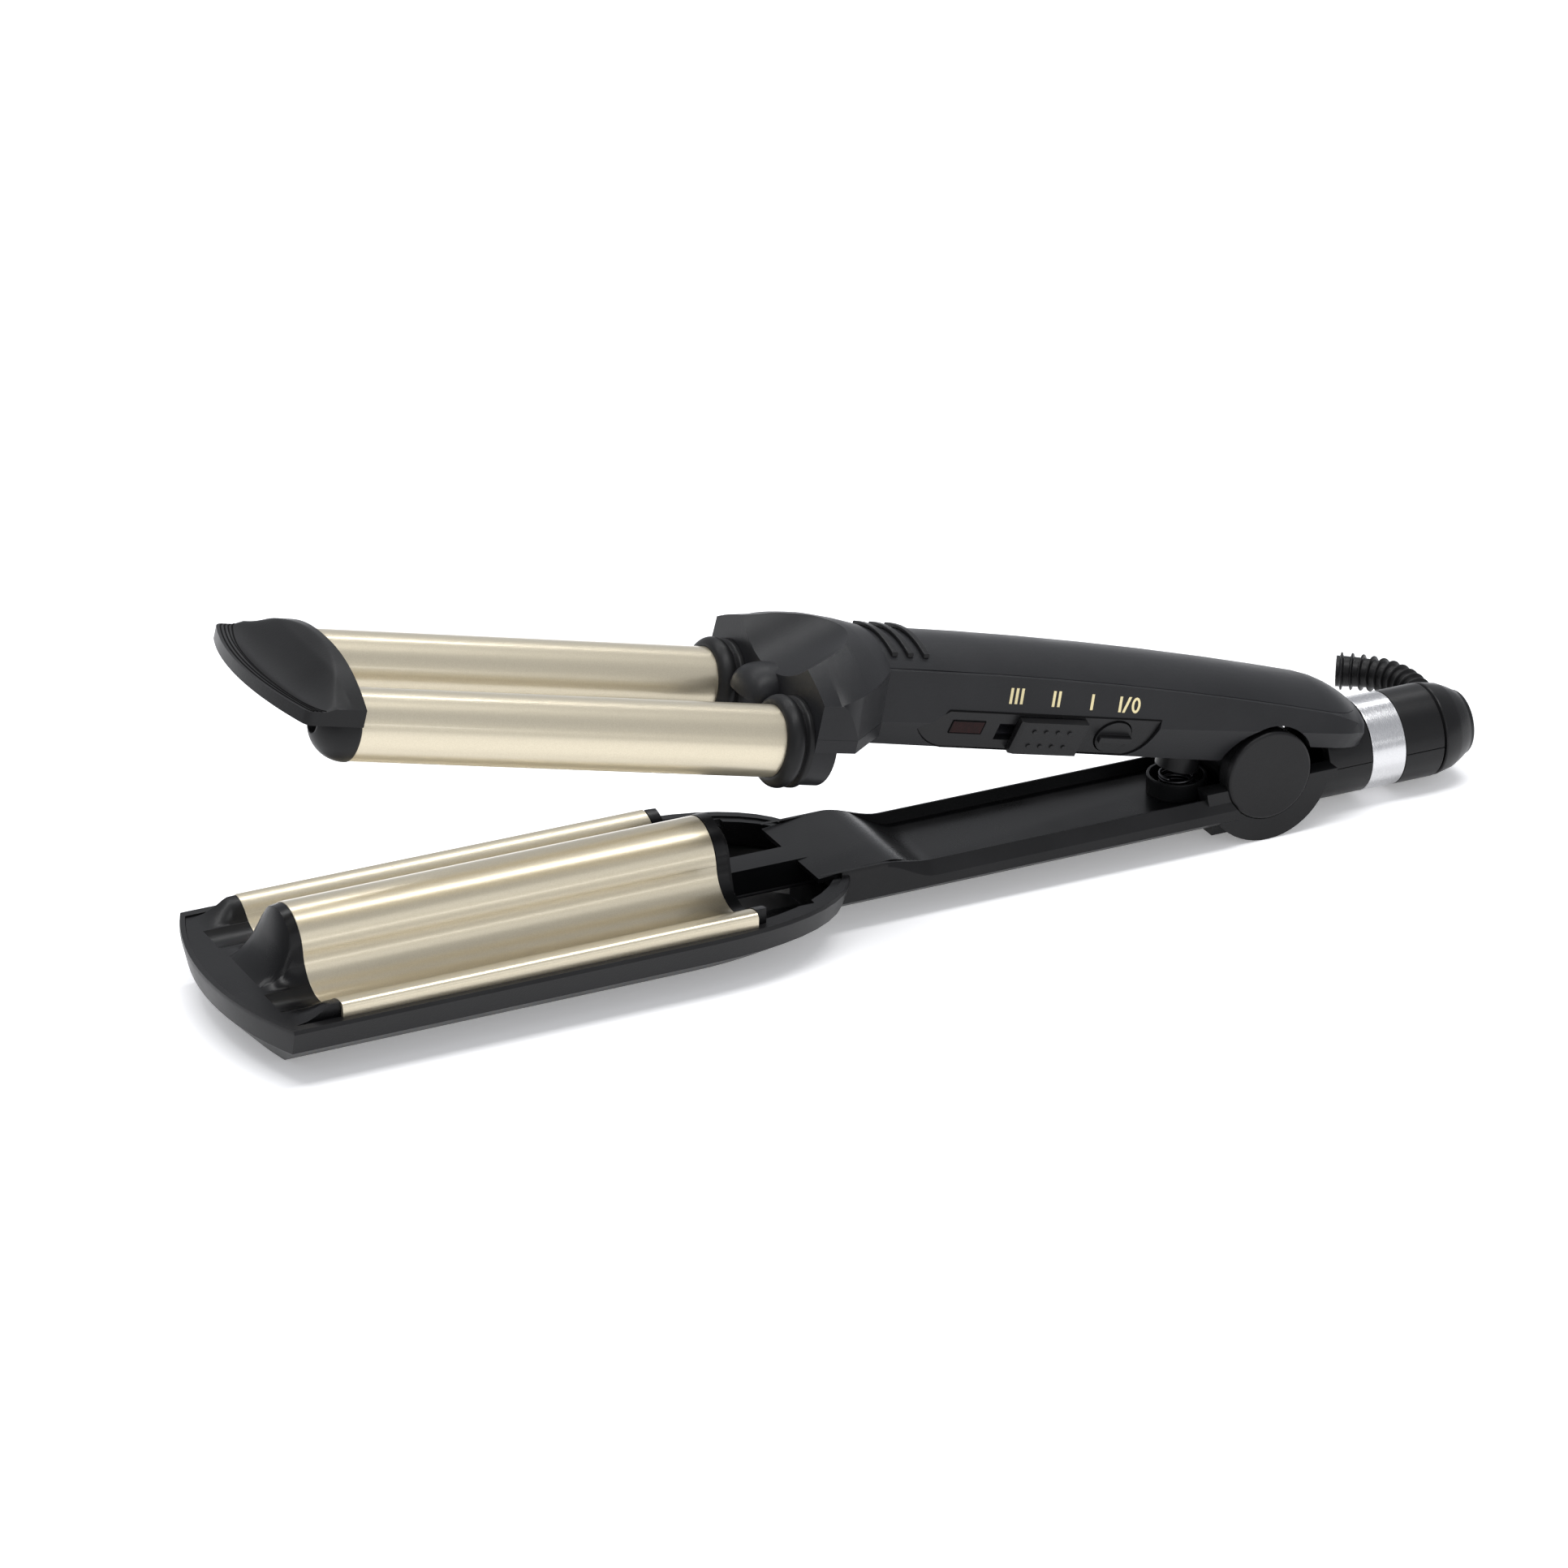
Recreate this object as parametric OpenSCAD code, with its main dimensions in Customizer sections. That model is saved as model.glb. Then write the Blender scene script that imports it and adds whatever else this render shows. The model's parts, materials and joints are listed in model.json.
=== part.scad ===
/* [Arms] */
// Angle between the two arms at rest
open_angle = 13.6; // [8:0.1:13.6]
// Distance from the middle of the wave plate to the hinge axis
hinge_x = 207.4; // [206:0.1:209]
// Height of the hinge axis above the table
hinge_z = 18; // [17.9:0.1:18.1]
// Outer radius of the hinge ears
ear_r = 18; // [17.5:0.1:18]
// Radius of the round hinge caps
cap_r = 11.95; // [11:0.05:12]
// Radius of the hinge pin
pin_r = 2.5; // [2:0.1:3]
// Radial running clearance of the hinge pin
pin_gap = 0.05; // [0.02:0.01:0.1]

/* [Heated parts] */
// Length of the wave plate
plate_l = 110; // [100:1:110]
// Height of the middle crest of the wave plate
crest_z = 30.65; // [30:0.05:31]
// Height of the two outer lips of the wave plate
lip_z = 19.25; // [19:0.05:19.5]
// Thickness of the wave plate
plate_t = 1.2; // [0.8:0.1:1.4]
// Outer diameter of each barrel
barrel_d = 17; // [16:0.1:17]
// Wall of each barrel
barrel_t = 0.9; // [0.6:0.1:1.2]
// Distance from the centre line to each barrel axis
barrel_y = 19; // [19:0.1:19.2]
// Height of the barrel axes when the arms are closed
barrel_z = 23.05; // [23:0.05:23.5]
// Gap between a barrel and the wave plate when closed
hair_gap = 0.8; // [0.5:0.1:1]

/* [Plate housing] */
// Half the width of the plate housing at its rim
house_w = 35.6; // [35:0.1:36]
// Height of the housing rim
rim_z = 15.75; // [15.5:0.05:16]
// Height of the knuckle line where the belly begins
belly_z = 8.6; // [8:0.1:9.5]
// Wall of the lower shell
wall = 1.8; // [1.5:0.1:2]
// Half the width of the neck and the lower handle
neck_w = 17.5; // [17.3:0.1:17.8]
// Height of the neck top
neck_z = 16.85; // [16.5:0.05:17]

/* [Tail] */
// Radius of the tail
tail_r = 12; // [11.8:0.1:12]
// Height of the tail axis
tail_z = 13.15; // [13.1:0.05:13.3]
// Radius of the boot at its free end
boot_r = 5.3; // [5:0.1:5.5]
// Radius of the cord bore in the boot
cord_r = 3.2; // [3:0.1:3.5]

/* [Upper handle] */
// Height of the handle crown beside the head
crown_z = 45.3; // [45:0.1:45.5]
// Fall of the crown from the head to the rear
crown_fall = 6.9; // [6.5:0.1:7]
// Half the width of the handle at its seam
seam_w = 15; // [14.8:0.1:15.2]
// Half the width of the handle at its facet edge
side_w = 16.4; // [16.2:0.1:16.6]
// Rise of the crown above the seam
crown_rise = 4.2; // [4:0.1:4.4]
// Wall of the handle mouldings
skin = 1.8; // [1.5:0.1:2]

/* [Controls] */
// Tilt of the switch panel from upright
panel_tilt = 20; // [18:0.5:21]
// Travel of the temperature slider
slider_travel = 7; // [5:0.5:7]
// Radius of the power button
button_r = 4.9; // [4.5:0.1:5]

/* [Hidden] */

fit = 0.1;                          // gap between fixed pieces that slide together
$fn = 64;

barrel_r = barrel_d / 2;
plate_x = plate_l / 2;              // the wave plate runs from -plate_x to plate_x
valley_r = barrel_r + hair_gap;     // radius of each valley of the wave plate

black = "#1f2022";
charcoal = "#2b2c2f";
rubber = "#18191a";
gold = "#c9bb97";
steel = "#c4c6c8";
board_green = "#2c5a3a";

// Points of a circular arc from angle a0 to a1
function arc(c, r, a0, a1, n) =
    [for (i = [0:n]) c + r * [cos(a0 + (a1 - a0) * i / n), sin(a0 + (a1 - a0) * i / n)]];

// Points of a quadratic curve from p0 to p2, pulled towards p1
function curve(p0, p1, p2, n) =
    [for (i = [0:n]) let (t = i / n) (1 - t) * (1 - t) * p0 + 2 * t * (1 - t) * p1 + t * t * p2];

function reversed(points) = [for (i = [len(points) - 1:-1:0]) points[i]];

// Extrudes an outline drawn in Y and Z from x0 to x1
module along_x(x0, x1) {
    translate([x0, 0, 0])
        rotate([90, 0, 90])
            linear_extrude(x1 - x0)
                children();
}

// Extrudes an outline drawn in X and Z from y0 to y1
module along_y(y0, y1) {
    translate([0, y1, 0])
        rotate([90, 0, 0])
            linear_extrude(y1 - y0)
                children();
}

// A cylinder along X
module rod_x(r, x0, x1) {
    translate([x0, 0, 0])
        rotate([0, 90, 0])
            cylinder(r = r, h = x1 - x0);
}

// A cylinder along Y
module rod_y(r, y0, y1) {
    translate([0, y0, 0])
        rotate([-90, 0, 0])
            cylinder(r = r, h = y1 - y0);
}

module both_sides() {
    children();
    mirror([0, 1, 0])
        children();
}

// A solid through rings of points, each ring with the same number of points
module loft(rings) {
    n = len(rings[0]);
    m = len(rings);
    points = [for (ring = rings) each ring];
    sides = [for (j = [0:m - 2], i = [0:n - 1])
        let (a = j * n + i, b = j * n + (i + 1) % n)
        each [[a, b, b + n], [a, b + n, a + n]]];
    caps = [[for (i = [n - 1:-1:0]) i], [for (i = [0:n - 1]) (m - 1) * n + i]];
    polyhedron(points, concat(caps, sides), convexity = 6);
}

module at_hinge() {
    translate([hinge_x, 0, hinge_z])
        children();
}

// The upper arm is drawn closed, and turned about the hinge to its rest position
module opened(angle = open_angle) {
    at_hinge()
        rotate([0, angle, 0])
            translate([-hinge_x, 0, -hinge_z])
                children();
}

// ---- Outlines of the lower arm ----

nose_x = plate_x + 13.5;            // the straight sides of the housing start here, towards the tip
tip_arc_r = 82.8;
rear_start = 42;
neck_x0 = 88;
trough_end = hinge_x - 9.6;
tail_x0 = 217;
ring_x0 = 240.3;
ring_x1 = 250.1;
collar_x1 = 261.5;
spindle_r = 6.4;                    // the cord swivel turns on this radius
floor_z = 10.6;                     // floor of the handle trough
neck_t = 1.2;                       // thickness of the neck top and of the trough floor
under_z = 6.15;                     // underside of the lower handle

// Plan of the plate housing, drawn in X and Y, pulled in by an inset
function housing(inset) = let (
    w = house_w - inset,
    half = asin(w / tip_arc_r),
    front = arc([-nose_x - 8 + tip_arc_r + inset * 0.6, 0], tip_arc_r, 180 - half, 180, 8),
    rear = curve([rear_start, w], [79 - inset * 0.4, w], [neck_x0 - inset * 0.3, max(neck_w - inset, 5)], 9),
    upper = concat([for (i = [len(front) - 1:-1:0]) front[i]], rear)
) concat(upper, [for (i = [len(upper) - 1:-1:1]) [upper[i].x, -upper[i].y]]);

function ring_at(points, z) = [for (p = points) [p.x, p.y, z]];

// The outside of the housing: upright rim, slanted side and a belly that comes in to the flat underside
module housing_body(inset, z0) {
    loft([
        ring_at(housing(16 + inset), z0),
        ring_at(housing(2.4 + inset), belly_z),
        ring_at(housing(inset), rim_z - 1),
        ring_at(housing(inset + 0.3), rim_z)
    ]);
}

// Rises smoothly from 0 at x0 to 1 at x1
function eased(x, x0, x1) = let (t = min(1, max(0, (x - x0) / (x1 - x0)))) t * t * (3 - 2 * t);

// The neck turns into the trough over these stations
step_stations = concat([neck_x0 - 8, 92], [for (x = [97:1.5:112]) x], [114, 116, trough_end]);

// Half the width of the room between the side walls, and height of its floor
function room_w(x) = 16 - 2 * eased(x, 97, 112);
function room_floor(x) = neck_z - (neck_z - floor_z) * eased(x, 99.5, 115);

// Right half of the neck and handle walls at x, from the underside over the top to the foot of the inner face
function wall_half(x) = let (s = eased(x, 97, 112), top = neck_z - 2.85 * s) [
    [14.6, under_z], [17.4, 8.2], [17.4, top - 0.9 - 2.35 * s], [17 - 2.1 * s, top],
    [room_w(x) + 0.4 * s, top], [room_w(x), 8]
];

module handle_walls() {
    stations = concat(step_stations, [hinge_x - 9]);
    loft([for (x = stations) let (half = wall_half(min(x, trough_end)))
        [for (p = concat([for (p = half) [-p.x, p.y]], reversed(half))) [x, p.x, p.y]]]);
}

module ear(side) {
    mirror([0, side < 0 ? 1 : 0, 0])
        difference() {
            union() {
                intersection() {
                    at_hinge()
                        rod_y(ear_r, 10.9, 16);
                    translate([hinge_x - 30, 0, 0])
                        cube([60, 30, 15.9]);
                }
                at_hinge()
                    rod_y(11.6, 10.9, 14.4);
                translate([hinge_x + 14.5, 10.9, 13.8])
                    cube([5.5, 5.1, 2.1]);
            }
            at_hinge()
                rod_y(cap_r + fit, 14.4, 20);
            at_hinge()
                rod_y(pin_r, 8, 20);
        }
}

module tail_half(upper) {
    x0 = upper ? hinge_x + 20.2 : tail_x0;
    z0 = upper ? tail_z + 0.05 : tail_z - 15;
    difference() {
        intersection() {
            translate([0, 0, tail_z])
                union() {
                    rod_x(tail_r, tail_x0, ring_x0 - 0.05);
                    rod_x(tail_r - 1.3, ring_x0 - 0.1, collar_x1 + 0.6);
                }
            translate([x0, -20, z0])
                cube([60, 40, 15]);
        }
        translate([0, 0, tail_z])
            union() {
                rod_x(tail_r - 3.4, tail_x0 - 1, collar_x1 - 2.1);
                rod_x(spindle_r + 0.08, tail_x0 - 1, 300);
            }
    }
}

module lower_shell() {
    color(black)
        difference() {
            union() {
                difference() {
                    union() {
                        housing_body(0, 0);
                        handle_walls();
                        translate([trough_end, -14.6, under_z])
                            cube([hinge_x - 9 - trough_end, 29.2, 6]);
                    }
                    loft([
                        ring_at(housing(18.2), wall),
                        ring_at(housing(4.4), belly_z + 0.8),
                        ring_at(housing(2.6), rim_z - 4),
                        ring_at(housing(2.6), rim_z + 1)
                    ]);
                    along_x(neck_x0 - 12, neck_x0 + 1)
                        polygon([[-16, 8], [16, 8], [16, 20], [-16, 20]]);
                }
                ear(1);
                ear(-1);
                hinge_web();
                tail_half(false);
                both_sides()
                    translate([-plate_x - 6, 14, 0.5])
                        cylinder(r = 3.8, h = 11.2);
            }
            both_sides()
                translate([-plate_x - 6, 14, -1])
                    union() {
                        cylinder(r = 1.6, h = 20);
                        cylinder(r = 2.8, h = 4.6);
                    }
            translate([-plate_x - fit, -lip_edge(-fit), deck_z])
                cube([plate_l + 2 * fit, 2 * lip_edge(-fit), 10]);
            both_sides()
                at_hinge()
                    rod_y(cap_r + fit, 14.4, 20);
            at_hinge()
                rod_y(pin_r, -20, 20);
        }
}

// Web under the hinge that ties the ears, the handle and the tail together
module hinge_web() {
    difference() {
        translate([hinge_x - 14, -12, 2.2])
            cube([27, 24, 4.4]);
        at_hinge()
            rod_y(11.2, -30, 30);
    }
    difference() {
        translate([hinge_x + 9.5, -12, 2.2])
            cube([4.6, 24, 9.4]);
        at_hinge()
            rod_y(11.2, -30, 30);
    }
}

// ---- Plate, heater and the frame that holds them ----

// Centre and radius of the middle arc of the wave, tangent to both valleys
crest_drop = (barrel_y * barrel_y - pow(valley_r + crest_z - barrel_z, 2))
    / (2 * (valley_r + crest_z - barrel_z));
hump_z = barrel_z - crest_drop;
hump_r = crest_z - hump_z;
hump_a = atan2(crest_drop, barrel_y);
// Lip arc, tangent to the valley
lip_r = 8;
lip_dz = barrel_z - (lip_z - lip_r);
lip_y = barrel_y + sqrt(pow(valley_r + lip_r, 2) - lip_dz * lip_dz);
lip_a = atan2(lip_dz, lip_y - barrel_y);

// Upper line of the wave plate for y >= 0, from the crest to the lip, offset by t into the metal
function wave_half(t) = concat(
    arc([0, hump_z], hump_r - t, 90, hump_a, 12),
    arc([barrel_y, barrel_z], valley_r + t, 180 + hump_a, 360 - lip_a, 16),
    arc([lip_y, lip_z - lip_r], lip_r - t, 180 - lip_a, 84 + 3 * t, 6),
    arc([lip_y + 0.25, lip_z - 1.55], 1.55 - t, 66, 0, 4)
);

function lip_edge(t) = lip_y + 1.8 - t;

function wave_line(t) = let (half = wave_half(t)) concat(
    [for (i = [len(half) - 1:-1:1]) [-half[i].x, half[i].y]], half);

module wave_outline(t, drop) {
    polygon(concat([[-lip_edge(t), drop]], wave_line(t), [[lip_edge(t), drop]]));
}

module wave_plate() {
    color(gold)
        along_x(-plate_x, plate_x)
            polygon(concat(
                [[-lip_edge(0), deck_z + 0.05]],
                wave_line(0),
                [[lip_edge(0), deck_z + 0.05], [lip_edge(plate_t), deck_z + 0.05]],
                reversed(wave_line(plate_t)),
                [[-lip_edge(plate_t), deck_z + 0.05]]
            ));
}

module plate_heater() {
    color("#d8d8d4")
        translate([-plate_x + 8, -5, 17.4])
            cube([plate_l - 16, 10, 10.3]);
}

module heater_clamp() {
    color(steel)
        along_x(-plate_x + 14, plate_x - 14)
            polygon([[-9, 1.9], [9, 1.9], [9, 3.1], [1.5, 3.1], [1.5, 15.6], [6, 16.6], [6, 17.3], [-6, 17.3],
                [-6, 16.6], [-1.5, 15.6], [-1.5, 3.1], [-9, 3.1]]);
}

module thermal_fuse() {
    color(steel)
        translate([0, 4.6, 14])
            rod_x(1.9, 20, 32);
}

deck_z = rim_z - 0.4;
seat_t = plate_t + 0.05;            // the seat follows the underside of the plate

seat_z = 11.8;                      // underside of the walls that the plate ends sit on
seat_y = 32.4;                      // half the width of those walls at their widest

// Solid block under the wave line, used for the two ends of the plate seat
module wave_wall(x0, x1, rise) {
    intersection() {
        along_x(x0, x1)
            wave_outline(-rise, seat_z);
        linear_extrude(60)
            polygon(housing(house_w - seat_y));
    }
}

// Noses at the tip end: they start as the wave and sink to the deck in a hollow curve
nose_l = 11.5;
nose_top = 3;
nose_gap = 0.1;                     // the noses start this much below the face of the plate

function nose_share(d) = d < nose_top ? 1 - 0.06 * pow(d / nose_top, 3)
    : 0.94 * pow(1 - (d - nose_top) / (nose_l - nose_top), 1.8);

function nose_drop(z, d) = z > deck_z ? deck_z + (z - deck_z) * nose_share(d) - 0.02 : z;

// One nose: ring is its outline where it meets the plate, from right to left
module nose(ring) {
    loft([for (d = [-0.5, 2.4, 3.6, 5, 6.6, 8.6, nose_l])
        [for (p = ring) [-plate_x - d, p.x, nose_drop(p.y, d)]]]);
}

module tip_noses() {
    flank = concat(
        arc([0, hump_z], hump_r - nose_gap, 90, hump_a, 5),
        arc([barrel_y, barrel_z], valley_r + nose_gap, 180 + hump_a, 240, 4));
    foot = flank[len(flank) - 1].x;
    nose(concat([[foot, seat_z]], reversed(flank), [for (i = [1:len(flank) - 1]) [-flank[i].x, flank[i].y]],
        [[-foot, seat_z]]));
    nose_y = lip_edge(seat_t) - 0.05;
    lip = concat(
        arc([barrel_y, barrel_z], valley_r + nose_gap, 300, 360 - lip_a, 4),
        arc([lip_y, lip_z - lip_r], lip_r - nose_gap, 180 - lip_a, 88, 4));
    both_sides()
        nose(concat([[nose_y, seat_z], [nose_y, lip_z - 0.1]], reversed(lip), [[lip[0].x, seat_z]]));
}

module well(side) {
    mirror([0, side < 0 ? 1 : 0, 0])
        intersection() {
            translate([plate_x + 3.2, 4, 5])
                cube([40, 30, 20]);
            loft([
                ring_at(housing(6.4), belly_z - 1),
                ring_at(housing(4.4), rim_z + 3)
            ]);
        }
}

module plate_frame() {
    color(black)
        difference() {
            union() {
                difference() {
                    union() {
                        loft([ring_at(housing(2.8), rim_z - 3.4), ring_at(housing(2.8), deck_z)]);
                        intersection() {
                            loft([ring_at(housing(4.9), belly_z + 0.9), ring_at(housing(3.2), rim_z - 3)]);
                            translate([plate_x - 2, -40, 0])
                                cube([60, 80, 20]);
                        }
                    }
                    translate([-plate_x + 3, -30.5, 5])
                        cube([plate_l - 6, 61, 20]);
                    well(1);
                    well(-1);
                }
                tip_noses();
                wave_wall(-plate_x + 0.1, -plate_x + 3, -seat_t);
                wave_wall(plate_x - 3, plate_x - 0.1, -seat_t);
                wave_wall(plate_x + 0.1, plate_x + 3, 0.2);
                along_x(plate_x + 2.5, plate_x + 5.2)
                    polygon(concat(
                        arc([0, hump_z], hump_r - 3.3, 0, 180, 12),
                        [[-9.5, seat_z], [9.5, seat_z]]
                    ));
                translate([plate_x + 2.5, -4, 9.6])
                    cube([35.5, 8, neck_z - 10.4]);
                neck_top();
            }
            both_sides()
                translate([-plate_x - 6, 14, 3])
                    cylinder(r = 1.6, h = 11);
            barrel_bores(-plate_x - 12, plate_x + 4, valley_r);
            barrel_bores(plate_x + 3.5, socket_x + 1, 10.8);
            along_x(-plate_x - 0.05, plate_x + 0.05)
                polygon(concat([[-lip_edge(seat_t), 60]], wave_line(seat_t), [[lip_edge(seat_t), 60]]));
            both_sides()
                at_hinge()
                    rod_y(ear_r + fit, 10.8, 20);
        }
}

// Top of the neck, which falls in a curved step to the floor of the handle trough
module neck_top() {
    loft([for (x = step_stations) let (w = room_w(x) - 0.06, top = room_floor(x) - 1.1 * eased(-x, -90, -81))
        [[x, -w, top - neck_t], [x, -w, top], [x, w, top], [x, w, top - neck_t]]]);
}

module frame_screws() {
    color(steel)
        both_sides()
            translate([-plate_x - 6, 14, 2.1])
                union() {
                    cylinder(r = 1.5, h = 11);
                    cylinder(r = 2.6, h = 1.45);
                }
}

module lower_leads() {
    color("#26262a")
        both_sides()
            translate([0, 3, 8.7])
                rod_x(0.65, 60, hinge_x - 12);
}

// ---- Tail ----

module tail_cover() {
    color(black)
        tail_half(true);
}

module steel_ring() {
    color(steel)
        translate([0, 0, tail_z])
            difference() {
                rod_x(tail_r + 0.15, ring_x0, ring_x1);
                rod_x(tail_r - 1.25, ring_x0 - 1, ring_x1 + 1);
            }
}

module collar(upper) {
    color(black)
        intersection() {
            translate([0, 0, tail_z])
                difference() {
                    rod_x(tail_r + 0.2, ring_x1 + 0.05, collar_x1);
                    rod_x(tail_r - 1.25, ring_x1 - 1, collar_x1 + 1);
                }
            translate([ring_x1, -20, upper ? tail_z + 0.05 : tail_z - 20])
                cube([20, 40, 20]);
        }
}

module collar_upper() {
    collar(true);
}

module collar_lower() {
    collar(false);
}

cup_x = hinge_x - 17.8;

module spring_cup() {
    color(black)
        translate([cup_x, 0, floor_z])
            difference() {
                cylinder(r = 7.75, h = 4.9);
                translate([0, 0, 0.8])
                    cylinder(r = 6.9, h = 6);
            }
}

module hinge_pin() {
    color(steel)
        at_hinge()
            rod_y(pin_r - 0.02, -14.3, 14.3);
}

module hinge_cap(side) {
    color(black)
        at_hinge()
            mirror([0, side < 0 ? 1 : 0, 0])
                union() {
                    rod_y(cap_r, 14.45, 16.1);
                    translate([0, 16.1, 0])
                        rotate([-90, 0, 0])
                            cylinder(r1 = cap_r, r2 = cap_r - 0.5, h = 0.5);
                }
}

module hinge_cap_near() {
    hinge_cap(-1);
}

module hinge_cap_far() {
    hinge_cap(1);
}

// ---- Upper handle, drawn closed ----

handle_x0 = 89;
hood_x0 = 222;
hood_x1 = 238.4;

function along(x) = max(0, (x - 88) / 139);
function hood(x) = max(0, (x - hood_x0) / (hood_x1 - hood_x0));
function top_z(x) = crown_z - crown_fall * pow(along(x), 2.2) - 5 * pow(hood(x), 2);
function wide(x) = pow(1 - pow(hood(x), 3.2), 0.4);
function facet_z(x) = 28.2 + (x - 91) * 0.0138;
function low_z(x) = 20.6 - (x - 124) * 0.01;

low_w = 12.4;                       // half the width of the handle underside

// Section of the upper handle as a closed ring, with an inset for the hollow
function handle_ring(x, inset) = let (
    w = wide(x),
    top = top_z(x) - inset,
    rise = crown_rise * w,
    crown = [for (i = [0:12]) let (u = i / 6 - 1) [(seam_w - inset) * w * u, top - rise * u * u]],
    low = low_z(x) + inset,
    flank = [
        [(side_w - inset) * w, min(facet_z(x), top - rise - 2)],
        [(low_w - inset) * w, low],
        [-(low_w - inset) * w, low],
        [-(side_w - inset) * w, min(facet_z(x), top - rise - 2)]
    ]
) [for (p = concat(crown, flank)) [x, p.x, p.y]];

base_screw_x = 98;
base_screw_y = 6.4;

stations = [handle_x0, 104, 122, 140, 158, 176, 194, 208, hood_x0, 226, 229, 231.5, 233.5, 235, 236.4];

module handle_solid(inset, x0 = 0, x1 = 0) {
    loft([for (x = stations) handle_ring(x + (x == handle_x0 ? x0 : 0) - (x > hood_x0 ? x1 : 0), inset)]);
}

// Everything above the seam between cover and base, with a gap
module above_seam(gap) {
    seam = [for (x = stations) [x, crown_z - crown_fall * pow(along(x), 2.2) - crown_rise + 0.35 + gap]];
    along_y(-30, 30)
        polygon(concat([[handle_x0 - 5, seam[0].y]], seam, [[260, seam[len(seam) - 1].y - 8], [260, 70],
            [handle_x0 - 5, 70]]));
}

module handle_cover() {
    color(charcoal)
        opened() {
            difference() {
                intersection() {
                    handle_solid(0);
                    above_seam(0.04);
                }
                handle_solid(skin, -3, 1);
                tail_space();
            }
            both_sides()
                translate([base_screw_x, base_screw_y, 23])
                    difference() {
                        cylinder(r = 2.7, h = 19.8);
                        translate([0, 0, -1])
                            cylinder(r = 1.55, h = 12.5);
                    }
        }
}

// Room for the tail under the rear hood, in the closed frame of the upper arm
module tail_space() {
    opened(-open_angle)
        translate([0, 0, tail_z])
            rod_x(tail_r + 0.8, 214, 262);
}

// Lower edge of the handle sides: straight, then round the hinge cap, then the rear hood
module handle_trim() {
    along_y(-30, 30)
        polygon(concat([[hinge_x - 13.2, -10]], arc([hinge_x, hinge_z], 13.4, 176, 34, 16),
            [[260, hinge_z + 7.5], [260, -10]]));
}

knuckle_w = 10.6;

module knuckle() {
    difference() {
        union() {
            at_hinge()
                rod_y(8.6, -knuckle_w, knuckle_w);
            translate([hinge_x - 11.6, -knuckle_w, 19.4])
                cube([11.6, 2 * knuckle_w, 4]);
            translate([hinge_x - 10, -knuckle_w, 20])
                cube([10, 2.6, 12]);
            translate([hinge_x - 10, knuckle_w - 2.6, 20])
                cube([10, 2.6, 12]);
        }
        at_hinge()
            rod_y(pin_r + pin_gap, -20, 20);
    }
}

ring_x = 59.3;                      // front of the rubber rings, and visible end of the barrels
head_x0 = ring_x + 6.6;
part_z = 28;                        // parting line between the head cover and the base
socket_x = 72.5;

// Plan of the head, drawn in X and Y
function head_plan(inset) = [
    [head_x0, -30 + inset], [77.5 - inset / 2, -29.6 + inset], [91, -16.6 + inset], [91, 16.6 - inset],
    [77.5 - inset / 2, 29.6 - inset], [head_x0, 30 - inset]
];

module barrel_bores(x0, x1, r) {
    both_sides()
        translate([0, barrel_y, barrel_z])
            rod_x(r, x0, x1);
}

module upper_base() {
    color(charcoal)
        opened()
            difference() {
                union() {
                    difference() {
                        handle_solid(0);
                        above_seam(-0.04);
                        handle_solid(skin, -3, 1);
                        handle_trim();
                        tail_space();
                        panel_pocket();
                    }
                    translate([0, 0, 24.6])
                        linear_extrude(part_z - 24.65)
                            polygon(head_plan(0));
                    difference() {
                        barrel_bores(head_x0, socket_x, 10.5);
                        translate([0, -40, part_z - 0.05])
                            cube([200, 80, 30]);
                    }
                    knuckle();
                }
                barrel_bores(50, socket_x - 1.2, barrel_r + 0.05);
                translate([socket_x - 3, -13, 24])
                    cube([24, 26, 10]);
                difference() {
                    barrel_bores(socket_x - 2, socket_x + 5, 5);
                    translate([0, -50, 0])
                        cube([200, 100, 24.6]);
                }
                at_hinge()
                    rod_y(pin_r + pin_gap, -20, 20);
                translate([cup_x + 0.4, 0, 10])
                    cylinder(r = 3.1, h = 20);
                both_sides()
                    translate([base_screw_x, base_screw_y, 10])
                        union() {
                            cylinder(r = 1.6, h = 20);
                            cylinder(r = 2.7, h = 11.9);
                        }
            }
}

module grip_ribs() {
    color(rubber)
        opened()
            intersection() {
                for (i = [0:2])
                    translate([93 + i * 4.5, -10.8, 38])
                        cube([1.7, 21.6, 12]);
                difference() {
                    handle_solid(-0.9);
                    handle_solid(-0.02);
                }
            }
}

// Solid of the head above the parting line; the saddle is cut out of it
module head_solid(inset) {
    x1 = handle_x0 - 0.05;
    hull()
        both_sides()
            polyhedron(
                [
                    [head_x0 - 0.05 + inset, 0, part_z], [head_x0 - 0.05 + inset, 30 - inset, part_z],
                    [77.5, 29.6 - inset, part_z], [x1, 17.6 - inset, part_z], [x1, 0, part_z],
                    [head_x0 + inset, 29.8 - inset, 36.7 - inset], [71, 29.4 - inset, 37.2 - inset],
                    [head_x0 + inset, 19, 41 - inset], [x1, 15.7 - inset, 41.5 - inset],
                    [x1, 10.6, 43.9 - inset], [x1, 0, 45.9 - inset], [80, 0, 46.6 - inset],
                    [80, 10, 45 - inset], [head_x0 + inset, 0, 43.6 - inset]
                ],
                [[0, 1, 2, 3, 4], [1, 5, 6, 2], [2, 6, 8, 3], [5, 7, 6], [6, 7, 8], [7, 12, 9, 8],
                    [9, 12, 11, 10], [7, 13, 11, 12], [0, 13, 7, 5, 1], [0, 4, 10, 11, 13],
                    [3, 8, 9, 10, 4]]
            );
}

saddle_r = 31.3;

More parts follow.
